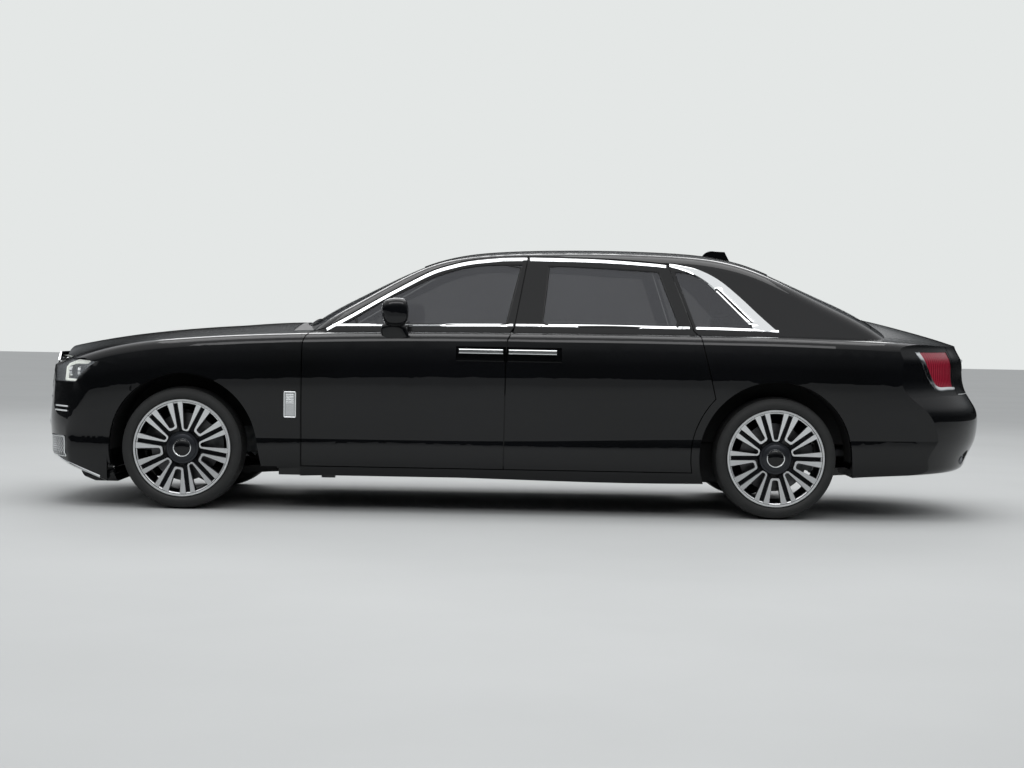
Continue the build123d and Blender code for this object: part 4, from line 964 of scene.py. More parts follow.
@dataclass
class WheelTrim:
    """The alloy wheels: a barrel with a bright lip, narrow and wide spoke frames, a dark hub and its cap."""

    cap_radius: float = 0.046
    cap_sunk: float = 0.018
    ring_radius: float = 0.0545
    rim_radius: float = 0.284
    seat_radius: float = 0.2755
    hub_radius: float = 0.097
    bore_radius: float = 0.0345
    spoke_depth: float = 0.040
    web_sunk: float = 0.030
    web_depth: float = 0.012
    chamfer: float = 0.0012
    half_turn: float = math.pi / 5
    narrow: SpokeFrame = SpokeFrame(0.0985, 0.0180, 0.0770, 0.009, 0.0100, 0.0345)
    wide: SpokeFrame = SpokeFrame(0.1150, 0.0250, 0.0755, 0.014, 0.0110, 0.0405)
    first_angle: dict[str, float] = field(default_factory=lambda: {"front": 27.0, "rear": 18.0})

    def build(self) -> None:
        """Make the four wheels and dress their tyres."""
        for end in ("front", "rear"):
            for side in Side:
                self.one(end, side)

    def one(self, end: str, side: Side) -> None:
        """One wheel and its tyre."""
        word = "%s_%s" % (end, side.word)
        body = word + "_wheel"
        node = "%s_wheel_%s" % (end, side.word)
        low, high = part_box("%s_tyre_%s" % (end, side.word))
        centre = (low + high) / 2
        dress_node("%s_tyre_%s" % (end, side.word), TyreRubber("rubber_" + word, centre.x, centre.z, centre.y))
        alloy = MachinedAlloy("aluminium_turned_" + word, centre.x, centre.z)
        low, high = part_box(node)
        axle = Axle(centre, side.value, high.y - centre.y if side is Side.LEFT else centre.y - low.y)
        for name, mesh, finish in (("rim", self.barrel(axle), alloy), ("spokes", self.spokes(axle, end), alloy),
                                   ("hub", self.hub(axle), alloy), ("slots", self.webs(axle, end), GUNMETAL)):
            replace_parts(add_piece("wheel_%s_%s" % (name, word), mesh, finish, body), node)
        cap, ring, base = self.cap_radius, self.ring_radius, axle.edge - self.cap_sunk
        profiles = {"cap": (((0.0, 0.012), (0.020, 0.0118), (0.036, 0.0100), (cap, 0.0065), (cap, -0.002)),
                            PIANO_BLACK),
                    "cap_ring": (((cap + 0.0004, -0.002), (cap + 0.0004, 0.008), (cap + 0.0025, 0.0102),
                                  (ring - 0.002, 0.0098), (ring, 0.007), (ring, -0.002)), CHROME)}
        for name, (profile, finish) in profiles.items():
            mesh = axle.turn([(r, base + d) for r, d in profile])
            add_piece("wheel_%s_%s" % (name, word), mesh, finish, body)

    def barrel(self, axle: Axle) -> Mesh:
        """The rim barrel, with bead seats, a dropped well and a rounded outer lip."""
        rim, seat, edge = self.rim_radius, self.seat_radius, axle.edge
        bead = edge - 0.0085
        profile = ((rim - 0.0135, edge - 0.0015), (rim - 0.012, edge), (rim - 0.0015, edge),
                   (rim, edge - 0.0015), (rim, bead), (seat, bead), (seat, bead - 0.030),
                   (seat - 0.012, bead - 0.044),
                   (seat - 0.012, 0.044 - bead), (seat, 0.030 - bead), (seat, -bead), (rim, -bead),
                   (rim, -edge), (rim - 0.016, -edge), (seat - 0.022, 0.046 - bead),
                   (seat - 0.022, bead - 0.060),
                   (rim - 0.0215, edge - 0.012), (rim - 0.015, edge - 0.010), (rim - 0.0135, edge - 0.0015))
        return axle.turn(profile, 120)

    def hub(self, axle: Axle) -> Mesh:
        """The dark hub, stepped down toward its edge, with a bore for the spindle behind."""
        face, bore, hub = axle.edge - 0.008, self.bore_radius, self.hub_radius
        profile = ((bore, face - 0.090), (hub, face - 0.090), (hub, face - 0.026), (hub - 0.004, face - 0.0205),
                   (0.081, face - 0.0195), (0.079, face - 0.0165), (0.060, face - 0.011), (0.0, face - 0.011),
                   (0.0, face - 0.029), (bore, face - 0.029), (bore, face - 0.090))
        return axle.turn(profile, 96)

    def angles(self, end: str) -> list[float]:
        """The directions of the five narrow frames."""
        return [math.radians(self.first_angle[end]) + 2 * self.half_turn * k for k in range(5)]

    def spokes(self, axle: Axle, end: str) -> Mesh:
        """Five narrow and five wide frames."""
        return joined([self.frame(shape, angle + swing, axle) for angle in self.angles(end)
                       for shape, swing in ((self.narrow, 0.0), (self.wide, self.half_turn))])

    def webs(self, axle: Axle, end: str) -> Mesh:
        """The dark floors of all ten slots."""
        return joined([self.web(angle, turn, axle) for angle in self.angles(end) for turn in (1, -1)])

    def frame(self, shape: SpokeFrame, angle: float, axle: Axle) -> Mesh:
        """One frame, bevelled along both edges of its face."""
        rows: list[Row] = []
        for outer, inner in shape.stations():
            bevel = self.chamfer / math.dist(outer, inner)
            row = []
            for share, sunk in ((0.0, self.spoke_depth), (0.0, self.chamfer), (bevel, 0.0), (1 - bevel, 0.0),
                                (1.0, self.chamfer), (1.0, self.spoke_depth)):
                at = [start + (stop - start) * share for start, stop in zip(outer, inner)]
                row.append(self.point(at[0], at[1], sunk, angle, axle))
            rows.append(row)
        return loft(rows)

    def web(self, angle: float, turn: int, axle: Axle) -> Mesh:
        """The sunk floor of one slot, which ties a narrow frame to the wide one beside it."""
        rows: list[Row] = []
        top, bottom = self.web_sunk, self.web_sunk + self.web_depth
        for radius in (0.092, 0.150, 0.210, 0.2735):
            near, far = (math.asin((shape.outer_half(max(radius, shape.foot_radius)) - 0.004) / radius)
                         for shape in (self.narrow, self.wide))
            far = self.half_turn - far
            rows.append([self.point(radius, 0.0, sunk, angle + turn * swing, axle)
                         for swing, sunk in ((near, top), (far, top), (far, bottom), (near, bottom))])
        return loft(rows)

    @staticmethod
    def point(out_by: float, across: float, sunk: float, angle: float, axle: Axle) -> Vector:
        """A point of the dished face, from its distance out along a spoke and across it."""
        radius = math.hypot(out_by, across)
        dish = -0.026 + 0.010 * min(1.0, (radius - 0.095) / 0.080) + 0.012 * max(0.0, (radius - 0.175) / 0.099)
        x = out_by * math.cos(angle) - across * math.sin(angle)
        z = out_by * math.sin(angle) + across * math.cos(angle)
        return axle.centre + Vector((x, axle.out * (axle.edge + dish - sunk), z))


def dress_node(name: str, *finishes: Finish) -> None:
    """Give a frame node its finish."""
    data = bpy.data.objects[name].data
    data.materials.clear()
    for finish in finishes:
        data.materials.append(finish.material())
    data.polygons.foreach_set("use_smooth", [True] * len(data.polygons))
    data.set_sharp_from_angle(angle=math.radians(30))


@dataclass
class WingPlaque:
    """The upright bright plaque behind each front wheel, left bare, with a ribbed upper half."""

    top: float = 0.696
    bottom: float = 0.551
    front: float = 1.344
    rear: float = 1.280
    inset: float = 0.006
    lowest_rib: float = 0.632
    rib_pitch: float = 0.010

    def build(self) -> None:
        """A framed plaque on each wing."""
        for side in Side:
            meet = partial(Skin("front_wing_" + side.word).from_side, side)
            frame = [bar_on(meet, a, b, 0.004, 0.007)
                     for a, b in rectangle((self.rear, self.bottom), (self.front, self.top))]
            add_piece("wing_plaque_frame_" + side.word, joined(frame), CHROME)
            edges = [[(x, self.bottom + self.inset), (x, self.top - self.inset)]
                     for x in (self.rear + self.inset, self.front - self.inset)]
            plate = trim_band(edges[0], edges[1], meet, 0.0030, 0.0026, 0.001, 12)
            add_piece("wing_plaque_plate_" + side.word, plate, SATIN)
            heights = [self.lowest_rib + self.rib_pitch * k for k in range(6)]
            ribs = [bar_on(meet, (self.rear + 0.010, z), (self.front - 0.010, z), 0.0024, 0.006)
                    for z in heights]
            add_piece("wing_plaque_ribs_" + side.word, joined(ribs), CHROME)


@dataclass
class HeadlampTrim:
    """A lit guide along three sides of a rectangle and two bright projectors behind each lamp cover."""

    top: float = 0.842
    bottom: float = 0.738
    inner: float = 0.700
    outer: float = 0.832
    guide: float = 0.013
    unit_y: tuple[float, ...] = (0.738, 0.808)
    unit_z: float = 0.79

    def build(self) -> None:
        """Both lamps."""
        meet = Skin("headlamp_housings").from_front
        for side in Side:
            sides = rectangle((self.inner * side.value, self.bottom), (self.outer * side.value, self.top))
            guides = [bar_on(meet, b, a, self.guide / 2, 0.016, 0.012, 0.002, 16)
                      for a, b in (sides[0], sides[3], sides[2])]
            add_piece("headlamp_guide_" + side.word, joined(guides), GUIDE)
            found = [meet((y * side.value, self.unit_z)) for y in self.unit_y]
            units = [self.projector(contact[0]) for contact in found if contact is not None]
            add_piece("headlamp_projectors_" + side.word, joined(units), CHROME)

    @staticmethod
    def projector(centre: Vector) -> Mesh:
        """A round projector with a domed lens, facing forward."""
        profile = ((0.0, 0.014), (0.014, 0.011), (0.021, 0.004), (0.023, 0.012), (0.027, 0.012), (0.029, 0.0),
                   (0.029, -0.004))
        rows = []
        for k in range(33):
            angle = 2 * math.pi * (k % 32) / 32
            around = Vector((0, math.cos(angle), math.sin(angle)))
            rows.append([centre + Vector((d, 0, 0)) + around * r for r, d in profile])
        return welded(rows)


@dataclass
class TailTrim:
    """The bright frame round each tail lamp, a bright bar across the boot lid and the bare plate below it."""

    lamp_line: tuple[Point, ...] = ((-2.334, 0.993), (-2.376, 0.932), (-2.426, 0.832), (-2.484, 0.768),
                                    (-2.560, 0.766), (-2.640, 0.766))
    frame: float = 0.026
    foot_top: float = 0.78
    plate_half: float = 0.260
    plate_low: float = 0.800
    plate_high: float = 0.915

    def build(self) -> None:
        """Dress both lamps, then the middle of the tail."""
        for side in Side:
            skin = Skin("body_side_" + side.word, "tail_lamps", "rear_bumper")
            outer = list(self.lamp_line)
            inner = [(x - self.frame, z + 0.004) if z > self.foot_top else (x - self.frame * 0.35, z + 0.022)
                     for x, z in outer]
            frame = trim_band(outer, inner, partial(skin.from_side, side), 0.004, 0.002, 0.002, 48)
            add_piece("tail_lamp_frame_" + side.word, frame, CHROME)
        lid = Skin("boot_lid")
        line = ((-self.plate_half - 0.05, self.plate_high + 0.035), (0.0, self.plate_high + 0.040),
                (self.plate_half + 0.05, self.plate_high + 0.035))
        low = tuple((y, z - 0.022) for y, z in line)
        bar = trim_band(line, low, lid.from_rear, 0.014, 0.006, 0.002, 40)
        add_piece("boot_lid_bar", bar, CHROME, "boot_lid")
        edges = [((y, self.plate_low), (y, self.plate_high)) for y in (-self.plate_half, self.plate_half)]
        plate = trim_band(edges[0], edges[1], lid.from_rear, 0.0035, 0.003, 0.002, 12)
        add_piece("plate_blank_rear", plate, SATIN, "boot_lid")


@dataclass
class NoseTrim:
    """The bright line along the front bumper's foot, the corner bars and the lower intake's mesh."""

    foot: tuple[Point, ...] = ((2.722, 0.274), (2.645, 0.247), (2.525, 0.204), (2.430, 0.170))
    foot_bead: float = 0.014
    slot_low: float = 0.562
    slot_high: float = 0.588
    slot_inner: float = 0.660
    slot_outer: float = 0.800
    slot_bar: float = 0.009
    intake_low: Point = (0.590, 0.286)
    intake_high: Point = (0.775, 0.404)
    mesh_pitch: float = 0.026

    def build(self) -> None:
        """The whole lower nose."""
        skin = Skin("front_bumper")
        for side in Side:
            upper = [(x, z + self.foot_bead) for x, z in self.foot]
            meet = partial(Skin("bumper_foot_" + side.word).from_side, side)
            bead = trim_band(upper, self.foot, meet, 0.005, 0.002, 0.002, 60)
            add_piece("bumper_foot_bead_" + side.word, bead, CHROME)
            bars = []
            for z in (self.slot_low, self.slot_high):
                first = [(self.slot_inner * side.value, z), (self.slot_outer * side.value, z - 0.002)]
                second = [(y, w - self.slot_bar) for y, w in first]
                bars.append(trim_band(first, second, skin.from_front, 0.006, 0.003, 0.002, 24))
            add_piece("bumper_corner_bars_" + side.word, joined(bars), CHROME)
            self.intake(side, skin)

    def intake(self, side: Side, skin: Skin) -> None:
        """A corner intake: a dark recess crossed by a bright diamond mesh."""
        (y0, z0), (y1, z1) = self.intake_low, self.intake_high
        edges = [[(y * side.value, z0), (y * side.value, z1)] for y in (y0, y1)]
        back = trim_band(edges[0], edges[1], skin.from_front, 0.0012, 0.001, 0.001, 12)
        add_piece("intake_back_" + side.word, back, TRIM_BLACK)
        rise = z1 - z0
        wires = []
        for k in range(-6, 12):
            for lean in (1, -1):
                a = y0 + k * self.mesh_pitch + (rise if lean == -1 else 0.0)
                ends = self.clip((a, z0), (a + lean * rise, z1), y0, y1)
                if ends is not None:
                    wires.append(self.wire(*ends, side, skin))
        add_piece("intake_mesh_" + side.word, joined(wires), SATIN)
        bars = [self.wire(a, b, side, skin, 0.005, 0.007) for a, b in rectangle((y0, z0), (y1, z1))]
        add_piece("intake_frame_" + side.word, joined(bars), CHROME)

    @staticmethod
    def clip(a: Point, b: Point, low: float, high: float) -> tuple[Point, Point] | None:
        """Cut a slanted line to a range of its first coordinate."""
        span = b[0] - a[0]
        t = sorted(((low - a[0]) / span, (high - a[0]) / span))
        start, end = max(t[0], 0.0), min(t[1], 1.0)
        if end - start < 0.05:
            return None
        ends = [(a[0] + span * s, a[1] + (b[1] - a[1]) * s) for s in (start, end)]
        return ends[0], ends[1]

    @staticmethod
    def wire(a: Point, b: Point, side: Side, skin: Skin, half: float = 0.0018,
             stand: float = 0.004) -> Mesh:
        """A thin bar on the nose between two points."""
        ends = [(p[0] * side.value, p[1]) for p in (a, b)]
        return bar_on(skin.from_front, ends[0], ends[1], half, stand)


@dataclass
class NoseShell:
    """The front bumper and grille surround, leaned back with the nose and trimmed along a rising foot line."""

    centre_line: tuple[Point, ...] = ((0.570, 2.847), (0.650, 2.836), (0.735, 2.820), (0.815, 2.803),
                                      (0.864, 2.792), (0.930, 2.790))
    grille_back: float = 2.788
    grille_depth: float = 0.066
    foot_front: Point = (2.830, 0.283)
    foot_slope: float = 0.367
    foot_rear: Point = (2.374, 0.146)
    foot_end: Point = (2.735, 0.276)
    panel_top: float = 0.300
    above: float = 0.62

    def build(self) -> None:
        """Both pieces, each in the room that its frame node holds."""
        grille = self.copied("radiator_grille")
        for v in grille.verts:
            share = min(1.0, max(0.12, (self.level(v.co.z) + 0.006 - self.grille_back) / self.grille_depth))
            v.co.x = self.grille_back + (v.co.x - self.grille_back) * share
        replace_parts(add_piece("grille_bars", grille, CHROME), "radiator_grille")
        bumper = self.copied("front_bumper")
        normal = Vector((-self.foot_slope, 0, 1)).normalized()
        bmesh.ops.remove_doubles(bumper, verts=bumper.verts, dist=2e-5)
        every = bumper.verts[:] + bumper.edges[:] + bumper.faces[:]
        foot = Vector((self.foot_front[0], 0, self.foot_front[1]))
        made = bmesh.ops.bisect_plane(bumper, geom=every, plane_co=foot, plane_no=normal, clear_inner=True)
        cut = [e for e in made["geom_cut"] if isinstance(e, bmesh.types.BMEdge)]
        bmesh.ops.holes_fill(bumper, edges=cut, sides=0)
        for v in bumper.verts:
            ahead = v.co.x - self.level(v.co.z)
            middle = min(1.0, max(0.0, (0.55 - abs(v.co.y)) / 0.10))
            if v.co.z > self.above and ahead > -0.02 and middle > 0:
                v.co.x -= (ahead + 0.012) * middle
        bmesh.ops.recalc_face_normals(bumper, faces=bumper.faces)
        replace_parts(add_piece("bumper_skin", bumper, PAINT), "front_bumper")
        for side in Side:
            add_piece("bumper_foot_" + side.word, self.foot_panel(side), PAINT)

    def foot_panel(self, side: Side) -> Mesh:
        """The painted panel that carries the bumper down to its rising foot line."""
        skin = Skin("front_bumper")
        rows: list[Row] = []
        for x, low in zip(spread(self.foot_rear[0], self.foot_end[0], 25),
                          spread(self.foot_rear[1], self.foot_end[1], 25)):
            found = skin.from_side(side, (x, self.panel_top))
            if found is None:
                continue
            face = found[0] + Vector((0, side.value * 0.0006, 0))
            inward = Vector((0, -side.value, 0))
            rows.append([face, Vector((face.x, face.y, (self.panel_top + low) / 2)) + inward * 0.003,
                         Vector((face.x, face.y, low + 0.006)) + inward * 0.010,
                         Vector((face.x, face.y, low)) + inward * 0.018,
                         Vector((face.x, face.y, low)) + inward * 0.034, face + inward * 0.034])
        return loft(rows)

    def level(self, z: float) -> float:
        """How far forward the nose reaches at a height."""
        line = self.centre_line
        if z <= line[0][0]:
            return line[0][1]
        for (z0, x0), (z1, x1) in zip(line, line[1:]):
            if z <= z1:
                return x0 + (x1 - x0) * (z - z0) / (z1 - z0)
        return line[-1][1]

    @staticmethod
    def copied(node: str) -> Mesh:
        """A fresh mesh in the shape of a frame node."""
        mesh = bmesh.new()
        mesh.from_mesh(bpy.data.objects[node].data)
        for face in mesh.faces:
            face.material_index = 0
        return mesh


@dataclass
class Underbody:
    """Dark panels that close the view under the floor, and the painted strip behind the rear window."""

    panels: tuple[tuple[Any, ...], ...] = (
        ("heel_panel", (-1.062, -0.640, 0.185), (-1.040, 0.640, 0.428)),
        ("tail_panel", (-2.120, -0.620, 0.235), (-2.100, 0.620, 0.428)),
        ("nose_panel", (2.430, -0.560, 0.200), (2.450, 0.560, 0.420)))
    heel_y: Point = (0.596, 0.618)
    rounding: float = 0.006
    strip_half: float = 0.400
    strip_front: float = -1.900
    strip_back: float = -2.400

    def build(self) -> None:
        """Heel and engine panels below, then the strip."""
        for name, low, high in self.panels:
            add_piece(name, rounded_box(low, high, self.rounding), UNDERSEAL)
        for side in Side:
            near, far = sorted(y * side.value for y in self.heel_y)
            heel = rounded_box((-1.400, near, 0.190), (-1.050, far, 0.430), self.rounding)
            add_piece("heel_side_" + side.word, heel, UNDERSEAL)
        self.scuttle()

    def scuttle(self) -> None:
        """The painted strip between the rear window's foot and the boot lid."""
        window, lid = Skin("rear_window"), Skin("boot_lid")
        rows: list[Row] = []
        for y in spread(-self.strip_half, self.strip_half, 41):
            front = self.edge(window, y, self.strip_front, -0.002)
            back = self.edge(lid, y, self.strip_back, 0.002)
            if front is None or back is None or front.x - back.x < 0.006:
                continue
            start, end = front + Vector((-0.003, 0, -0.001)), back + Vector((0.003, 0, -0.001))
            sunk = Vector((0, 0, -0.022))
            rows.append([start, start.lerp(end, 0.5), end, end + sunk, start + sunk])
        if len(rows) > 2:
            add_piece("rear_window_strip", loft(rows), PAINT)

    def edge(self, skin: Skin, y: float, start: float, step: float) -> Vector | None:
        """Walk along the car from a point on a panel and find where it ends."""
        last: Vector | None = None
        for k in range(260):
            found = skin.meet(Vector((start + step * k, y, 3.0)), Vector((0, 0, -1)))
            if found is None:
                return last
            last = found[0]
        return last


@dataclass
class MirrorShell:
    """A smooth door mirror: a rounded shell on a slim foot, with its glass set in the back."""

    levels: int = 2
    sections: tuple[Point, ...] = ((0.0, 0.55), (0.05, 0.86), (0.25, 1.0), (0.7, 1.0), (0.93, 0.88),
                                   (1.0, 0.55))
    outline: tuple[Point, ...] = ((0.072, -0.070), (0.086, 0.0), (0.078, 0.062), (0.024, 0.080),
                                  (-0.040, 0.080), (-0.070, 0.066), (-0.078, 0.0), (-0.078, -0.066),
                                  (-0.036, -0.084), (0.030, -0.086))
    foot_sections: tuple[tuple[float, ...], ...] = (
        (1.002, 0.612, 0.786, 0.930, 0.966), (1.030, 0.618, 0.796, 0.922, 0.978),
        (1.075, 0.632, 0.802, 0.912, 0.985), (1.115, 0.640, 0.790, 0.905, 0.990))

    def build(self) -> None:
        """One on each front door, in the room that its frame node holds."""
        for side in Side:
            node = "door_mirror_" + side.word
            body = "front_%s_door" % side.word
            low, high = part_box(node)
            piece = add_piece("mirror_shell_" + side.word, self.shell(low, high, side), PIANO_BLACK, body,
                              Shade.SMOOTH, self.levels)
            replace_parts(piece, node)
            add_piece("mirror_foot_" + side.word, self.foot(side), PAINT, body, Shade.SMOOTH, self.levels)
            add_piece("mirror_glass_" + side.word, self.glass(low, high, side), MIRROR, body)

    def shell(self, low: Vector, high: Vector, side: Side) -> Mesh:
        """Rounded sections from the outer end to the inner one."""
        inner_y = min(abs(low.y), abs(high.y)) + 0.010
        outer_y = max(abs(low.y), abs(high.y)) - 0.002
        rows: list[Row] = []
        for share, scale in self.sections:
            y = inner_y + (outer_y - inner_y) * share
            middle = Vector((0.712 - 0.012 * share, y * side.value, 1.172 + 0.006 * share))
            rows.append([middle + Vector((x * scale, 0, z * scale)) for x, z in self.outline])
        return loft(rows)

    def foot(self, side: Side) -> Mesh:
        """A slim stalk that leans up from the door to the shell."""
        rows: list[Row] = []
        for z, x0, x1, y0, y1 in self.foot_sections:
            corners = ((x0, y0), (x1, y0), (x1, y1), (x0, y1))
            rows.append([Vector((x, y * side.value, z)) for x, y in corners])
        return loft(rows)

    def glass(self, low: Vector, high: Vector, side: Side) -> Mesh:
        """The silvered glass, just proud of the shell's back."""
        inner_y = min(abs(low.y), abs(high.y)) + 0.030
        outer_y = max(abs(low.y), abs(high.y)) - 0.022
        mesh = rounded_box((0.6430, inner_y, 1.128), (0.6500, outer_y, 1.214), 0.003)
        if side is Side.RIGHT:
            bmesh.ops.scale(mesh, vec=(1, -1, 1), verts=mesh.verts)
            bmesh.ops.reverse_faces(mesh, faces=mesh.faces)
        return mesh


@dataclass
class Cushion:
    """A leather pad: crowned, with sides that pull in between its corners and sewn channels across it."""

    low: Vector
    high: Vector
    crown: float = 0.022
    channels: int = 0
    power: float = 5.0

    def mesh(self) -> Mesh:
        """The pad, from a rounded grid of points."""
        size = self.high - self.low
        middle = (self.high + self.low) / 2
        mesh = bmesh.new()
        bmesh.ops.create_cube(mesh, size=1.0)
        bmesh.ops.subdivide_edges(mesh, edges=mesh.edges[:], cuts=11, use_grid_fill=True)
        half = size / 2
        for v in mesh.verts:
            unit = v.co * 2
            reach = [abs(part) for part in unit]
            norm = sum(part ** self.power for part in reach) ** (1 / self.power)
            unit = unit / max(norm, 1e-6) * max(reach)
            bulge = (1 - unit.x ** 2) * (1 - unit.y ** 2)
            side_pull = 0.02 * (1 - bulge)
            point = Vector((unit.x * half.x * (1 - side_pull), unit.y * half.y * (1 - side_pull),
                            unit.z * half.z + (self.crown * bulge if unit.z > 0 else 0)))
            if self.channels and unit.z > 0.3:
                groove = math.cos(math.pi * self.channels * (unit.y + 1))
                point.z -= 0.004 * max(0.0, groove) ** 6
            v.co = middle + point
        return mesh


@dataclass
class Seats:
    """Leather chairs in front and a bench behind, in the room that their frame nodes hold."""

    seat_y: float = 0.375
    bench_y: float = 0.305
    chair_pads: tuple[tuple[Any, ...], ...] = (
        ("cushion", (0.50, 0.44, 0.15), 0.50, 0.475, -4, 0.012, 2),
        ("squab", (0.56, 0.43, 0.10), 0.125, 0.775, -77, 0.012, 2),
        ("head_rest", (0.17, 0.24, 0.07), 0.062, 1.150, -84, 0.008, 0))
    bench_pads: tuple[tuple[Any, ...], ...] = (
        ("cushion", (0.44, 0.56, 0.12), -0.245, 0.478, -4, 0.012, 3),
        ("squab", (0.50, 0.56, 0.11), 0.155, 0.775, -74, 0.012, 3),
        ("head_rest", (0.13, 0.26, 0.07), 0.055, 1.120, -84, 0.008, 0))

    def build(self) -> None:
        """The front pair, then the bench."""
        pads = []
        for side in Side:
            pads += self.chair(side)
        for piece in pads:
            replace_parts(piece, "front_seats")
        for piece in self.bench():
            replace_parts(piece, "rear_seat")

    def pad(self, name: str, size: Sequence[float], place: Vector, lean: float, crown: float,
            channels: int) -> Piece:
        """One cushion lying on its back, then leaned and put in place."""
        mesh = Cushion(-Vector(size) / 2, Vector(size) / 2, crown, channels).mesh()
        turn = Matrix.Translation(place) @ Matrix.Rotation(math.radians(lean), 4, "Y")
        bmesh.ops.transform(mesh, matrix=turn, verts=mesh.verts)
        piece = add_piece(name, mesh, HIDE, "body", Shade.SMOOTH, 1)
        return piece

    def chair(self, side: Side) -> list[Piece]:
        """A front chair: base, squab and head rest."""
        low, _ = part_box("front_seats")
        return [self.pad("front_%s_%s" % (name, side.word), size,
                         Vector((low.x + x, self.seat_y * side.value, z)), lean, crown, channels)
                for name, size, x, z, lean, crown, channels in self.chair_pads]

    def bench(self) -> list[Piece]:
        """The rear bench: two seats, two backs and their head rests."""
        low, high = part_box("rear_seat")
        starts = {"cushion": high.x, "squab": low.x, "head_rest": low.x}
        return [self.pad("rear_%s_%s" % (name, side.word), size,
                         Vector((starts[name] + x, self.bench_y * side.value, z)), lean, crown, channels)
                for side in Side for name, size, x, z, lean, crown, channels in self.bench_pads]


def dress_frame() -> None:
    """Give every frame node that stays in view its own finish."""
    painted = ["bonnet", "boot_lid", "roof_panel", "front_bumper", "rear_bumper"]
    glazed = ["windscreen", "rear_window", "quarter_windows"]
    metal: list[str] = ["radiator_grille"]
    cast = ["engine_block", "front_subframe", "rear_subframe"]
    for side in Side:
        word = side.word
        painted += ["body_side_" + word, "front_wing_" + word, "front_door_" + word, "rear_door_" + word,
                    "door_mirror_" + word]
        glazed += ["front_door_glass_" + word, "rear_door_glass_" + word]
        metal += ["front_door_handle_" + word, "rear_door_handle_" + word]
        cast.append("front_knuckle_" + word)
        for end in ("front", "rear"):
            dress_node("%s_brake_disc_%s" % (end, word), IRON)
    for names, finish in ((painted, PAINT), (glazed, GLASS), (metal, CHROME), (cast, CASTING)):
        for name in names:
            dress_node(name, finish)
    single = {"floor_pan": UNDERSEAL, "transmission_tunnel": PILE, "boot_floor": PILE, "rear_bulkhead": PILE,
              "wheelhouse_liners": UNDERSEAL, "cowl_panel": TRIM_BLACK, "wipers": TRIM_BLACK,
              "roof_aerial": PIANO_BLACK, "headlamp_lenses": LENS, "headlamp_housings": PIANO_BLACK,
              "tail_lamps": RUBY, "dashboard": DARK_HIDE, "steering_wheel": DARK_HIDE, "exhaust_system": STEEL,
              "front_seats": HIDE, "rear_seat": HIDE}
    for name, finish in single.items():
        dress_node(name, finish)


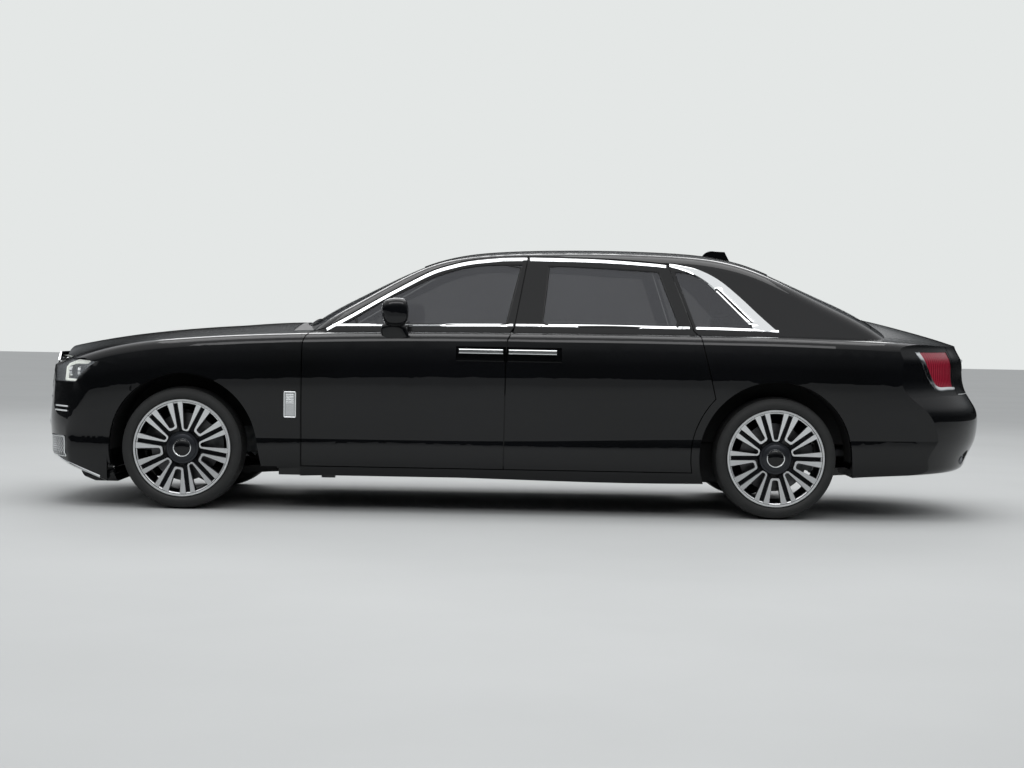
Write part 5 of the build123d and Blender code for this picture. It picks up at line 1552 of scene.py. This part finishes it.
@dataclass
class Studio:
    """A plain pale floor, a pale surround and soft lamps."""

    floor_half: float = 60.0
    wall_shade: str = "#e4e7e6"
    lamps: tuple[tuple[Any, ...], ...] = (
        ("overhead", (0.0, 0.0, 7.5), (0.0, 0.0, 0.0), (9.0, 5.0), 330.0),
        ("near_side", (0.0, 9.5, 6.5), (0.0, 0.0, 0.8), (10.0, 3.0), 260.0),
        ("far_side", (0.0, -9.5, 6.5), (0.0, 0.0, 0.8), (10.0, 3.0), 260.0))
    sky: Stops = ((0.0, "#0c0d0e"), (0.10, "#121314"), (0.22, "#5c5f61"), (0.36, "#c4c6c8"), (0.6, "#f4f5f6"))

    def build(self) -> None:
        """Floor, world and lamps."""
        self.floor()
        self.world()
        for name, place, aim, size, watts in self.lamps:
            self.lamp(name, place, aim, size, watts)

    def floor(self) -> None:
        """One large plain floor of pale trowelled concrete paint."""
        mesh = bmesh.new()
        bmesh.ops.create_grid(mesh, x_segments=1, y_segments=1, size=self.floor_half)
        data = bpy.data.meshes.new("floor")
        mesh.to_mesh(data)
        mesh.free()
        floor = bpy.data.objects.new("floor", data)
        bpy.context.scene.collection.objects.link(floor)
        data.materials.append(FloorPaint().material())

    def world(self) -> None:
        """A pale room that is bright overhead and dim toward the horizon in reflections."""
        world = bpy.data.worlds.new("room")
        bpy.context.scene.world = world
        world.use_nodes = True
        tree = world.node_tree
        background = tree.nodes["Background"]
        heading = add_node(tree, "TexCoord", output="Generated")
        height = add_node(tree, "SeparateXYZ", None, {"Vector": heading}, "Z")
        lift = add_node(tree, "ValToRGB", {"stops": self.sky}, {"Fac": height})
        path = add_node(tree, "LightPath").node.outputs
        seen = add_node(tree, "Math", {"operation": "MAXIMUM"}, {
            0: path["Is Camera Ray"], 1: path["Is Transmission Ray"]})
        shown = add_node(tree, "Mix", {"data_type": "RGBA"}, {0: seen, 6: lift, 7: colour(self.wall_shade)}, 2)
        set_inputs(background, {"Color": shown, "Strength": 1.0})

    @staticmethod
    def lamp(name: str, place: Sequence[float], aim: Sequence[float], size: Point, watts: float) -> None:
        """A soft rectangular lamp that faces a point."""
        light = bpy.data.lights.new(name, "AREA")
        light.shape = "RECTANGLE"
        light.size, light.size_y = size
        light.energy = watts
        holder = bpy.data.objects.new(name, light)
        bpy.context.scene.collection.objects.link(holder)
        holder.location = place
        holder.rotation_mode = "QUATERNION"
        holder.rotation_quaternion = (Vector(aim) - Vector(place)).to_track_quat("-Z", "Y")


@dataclass
class Viewpoint:
    """A long-lens camera square to the car's left side."""

    place: tuple[float, float, float] = (0.024, 11.95, 1.065)
    pitch: float = 1.56
    roll: float = 1.05
    focal: float = 66.47

    def build(self) -> None:
        """Set the camera level with the waist, tipped slightly down and rolled."""
        data = bpy.data.cameras.new("camera")
        data.lens = self.focal
        data.sensor_width = 36.0
        camera = bpy.data.objects.new("camera", data)
        bpy.context.scene.collection.objects.link(camera)
        look = Matrix.Rotation(math.pi, 4, "Z") @ Matrix.Rotation(math.radians(90 - self.pitch), 4, "X")
        roll = Matrix.Rotation(math.radians(self.roll), 4, "Z")
        camera.matrix_world = Matrix.Translation(Vector(self.place)) @ look @ roll
        bpy.context.scene.camera = camera


def main() -> None:
    """Load the frame, dress it, and light it."""
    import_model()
    bpy.context.scene.view_settings.view_transform = "Standard"
    Viewpoint().build()
    dress_frame()
    for assembly in (WindowTrim(), WheelTrim(), WingPlaque(), HeadlampTrim(), TailTrim(), NoseShell(),
                     NoseTrim(), Underbody(), MirrorShell(), Seats()):
        log.info("building %s", type(assembly).__name__)
        assembly.build()
    Studio().build()
    bpy.context.view_layer.update()


if __name__ == "__main__":
    main()
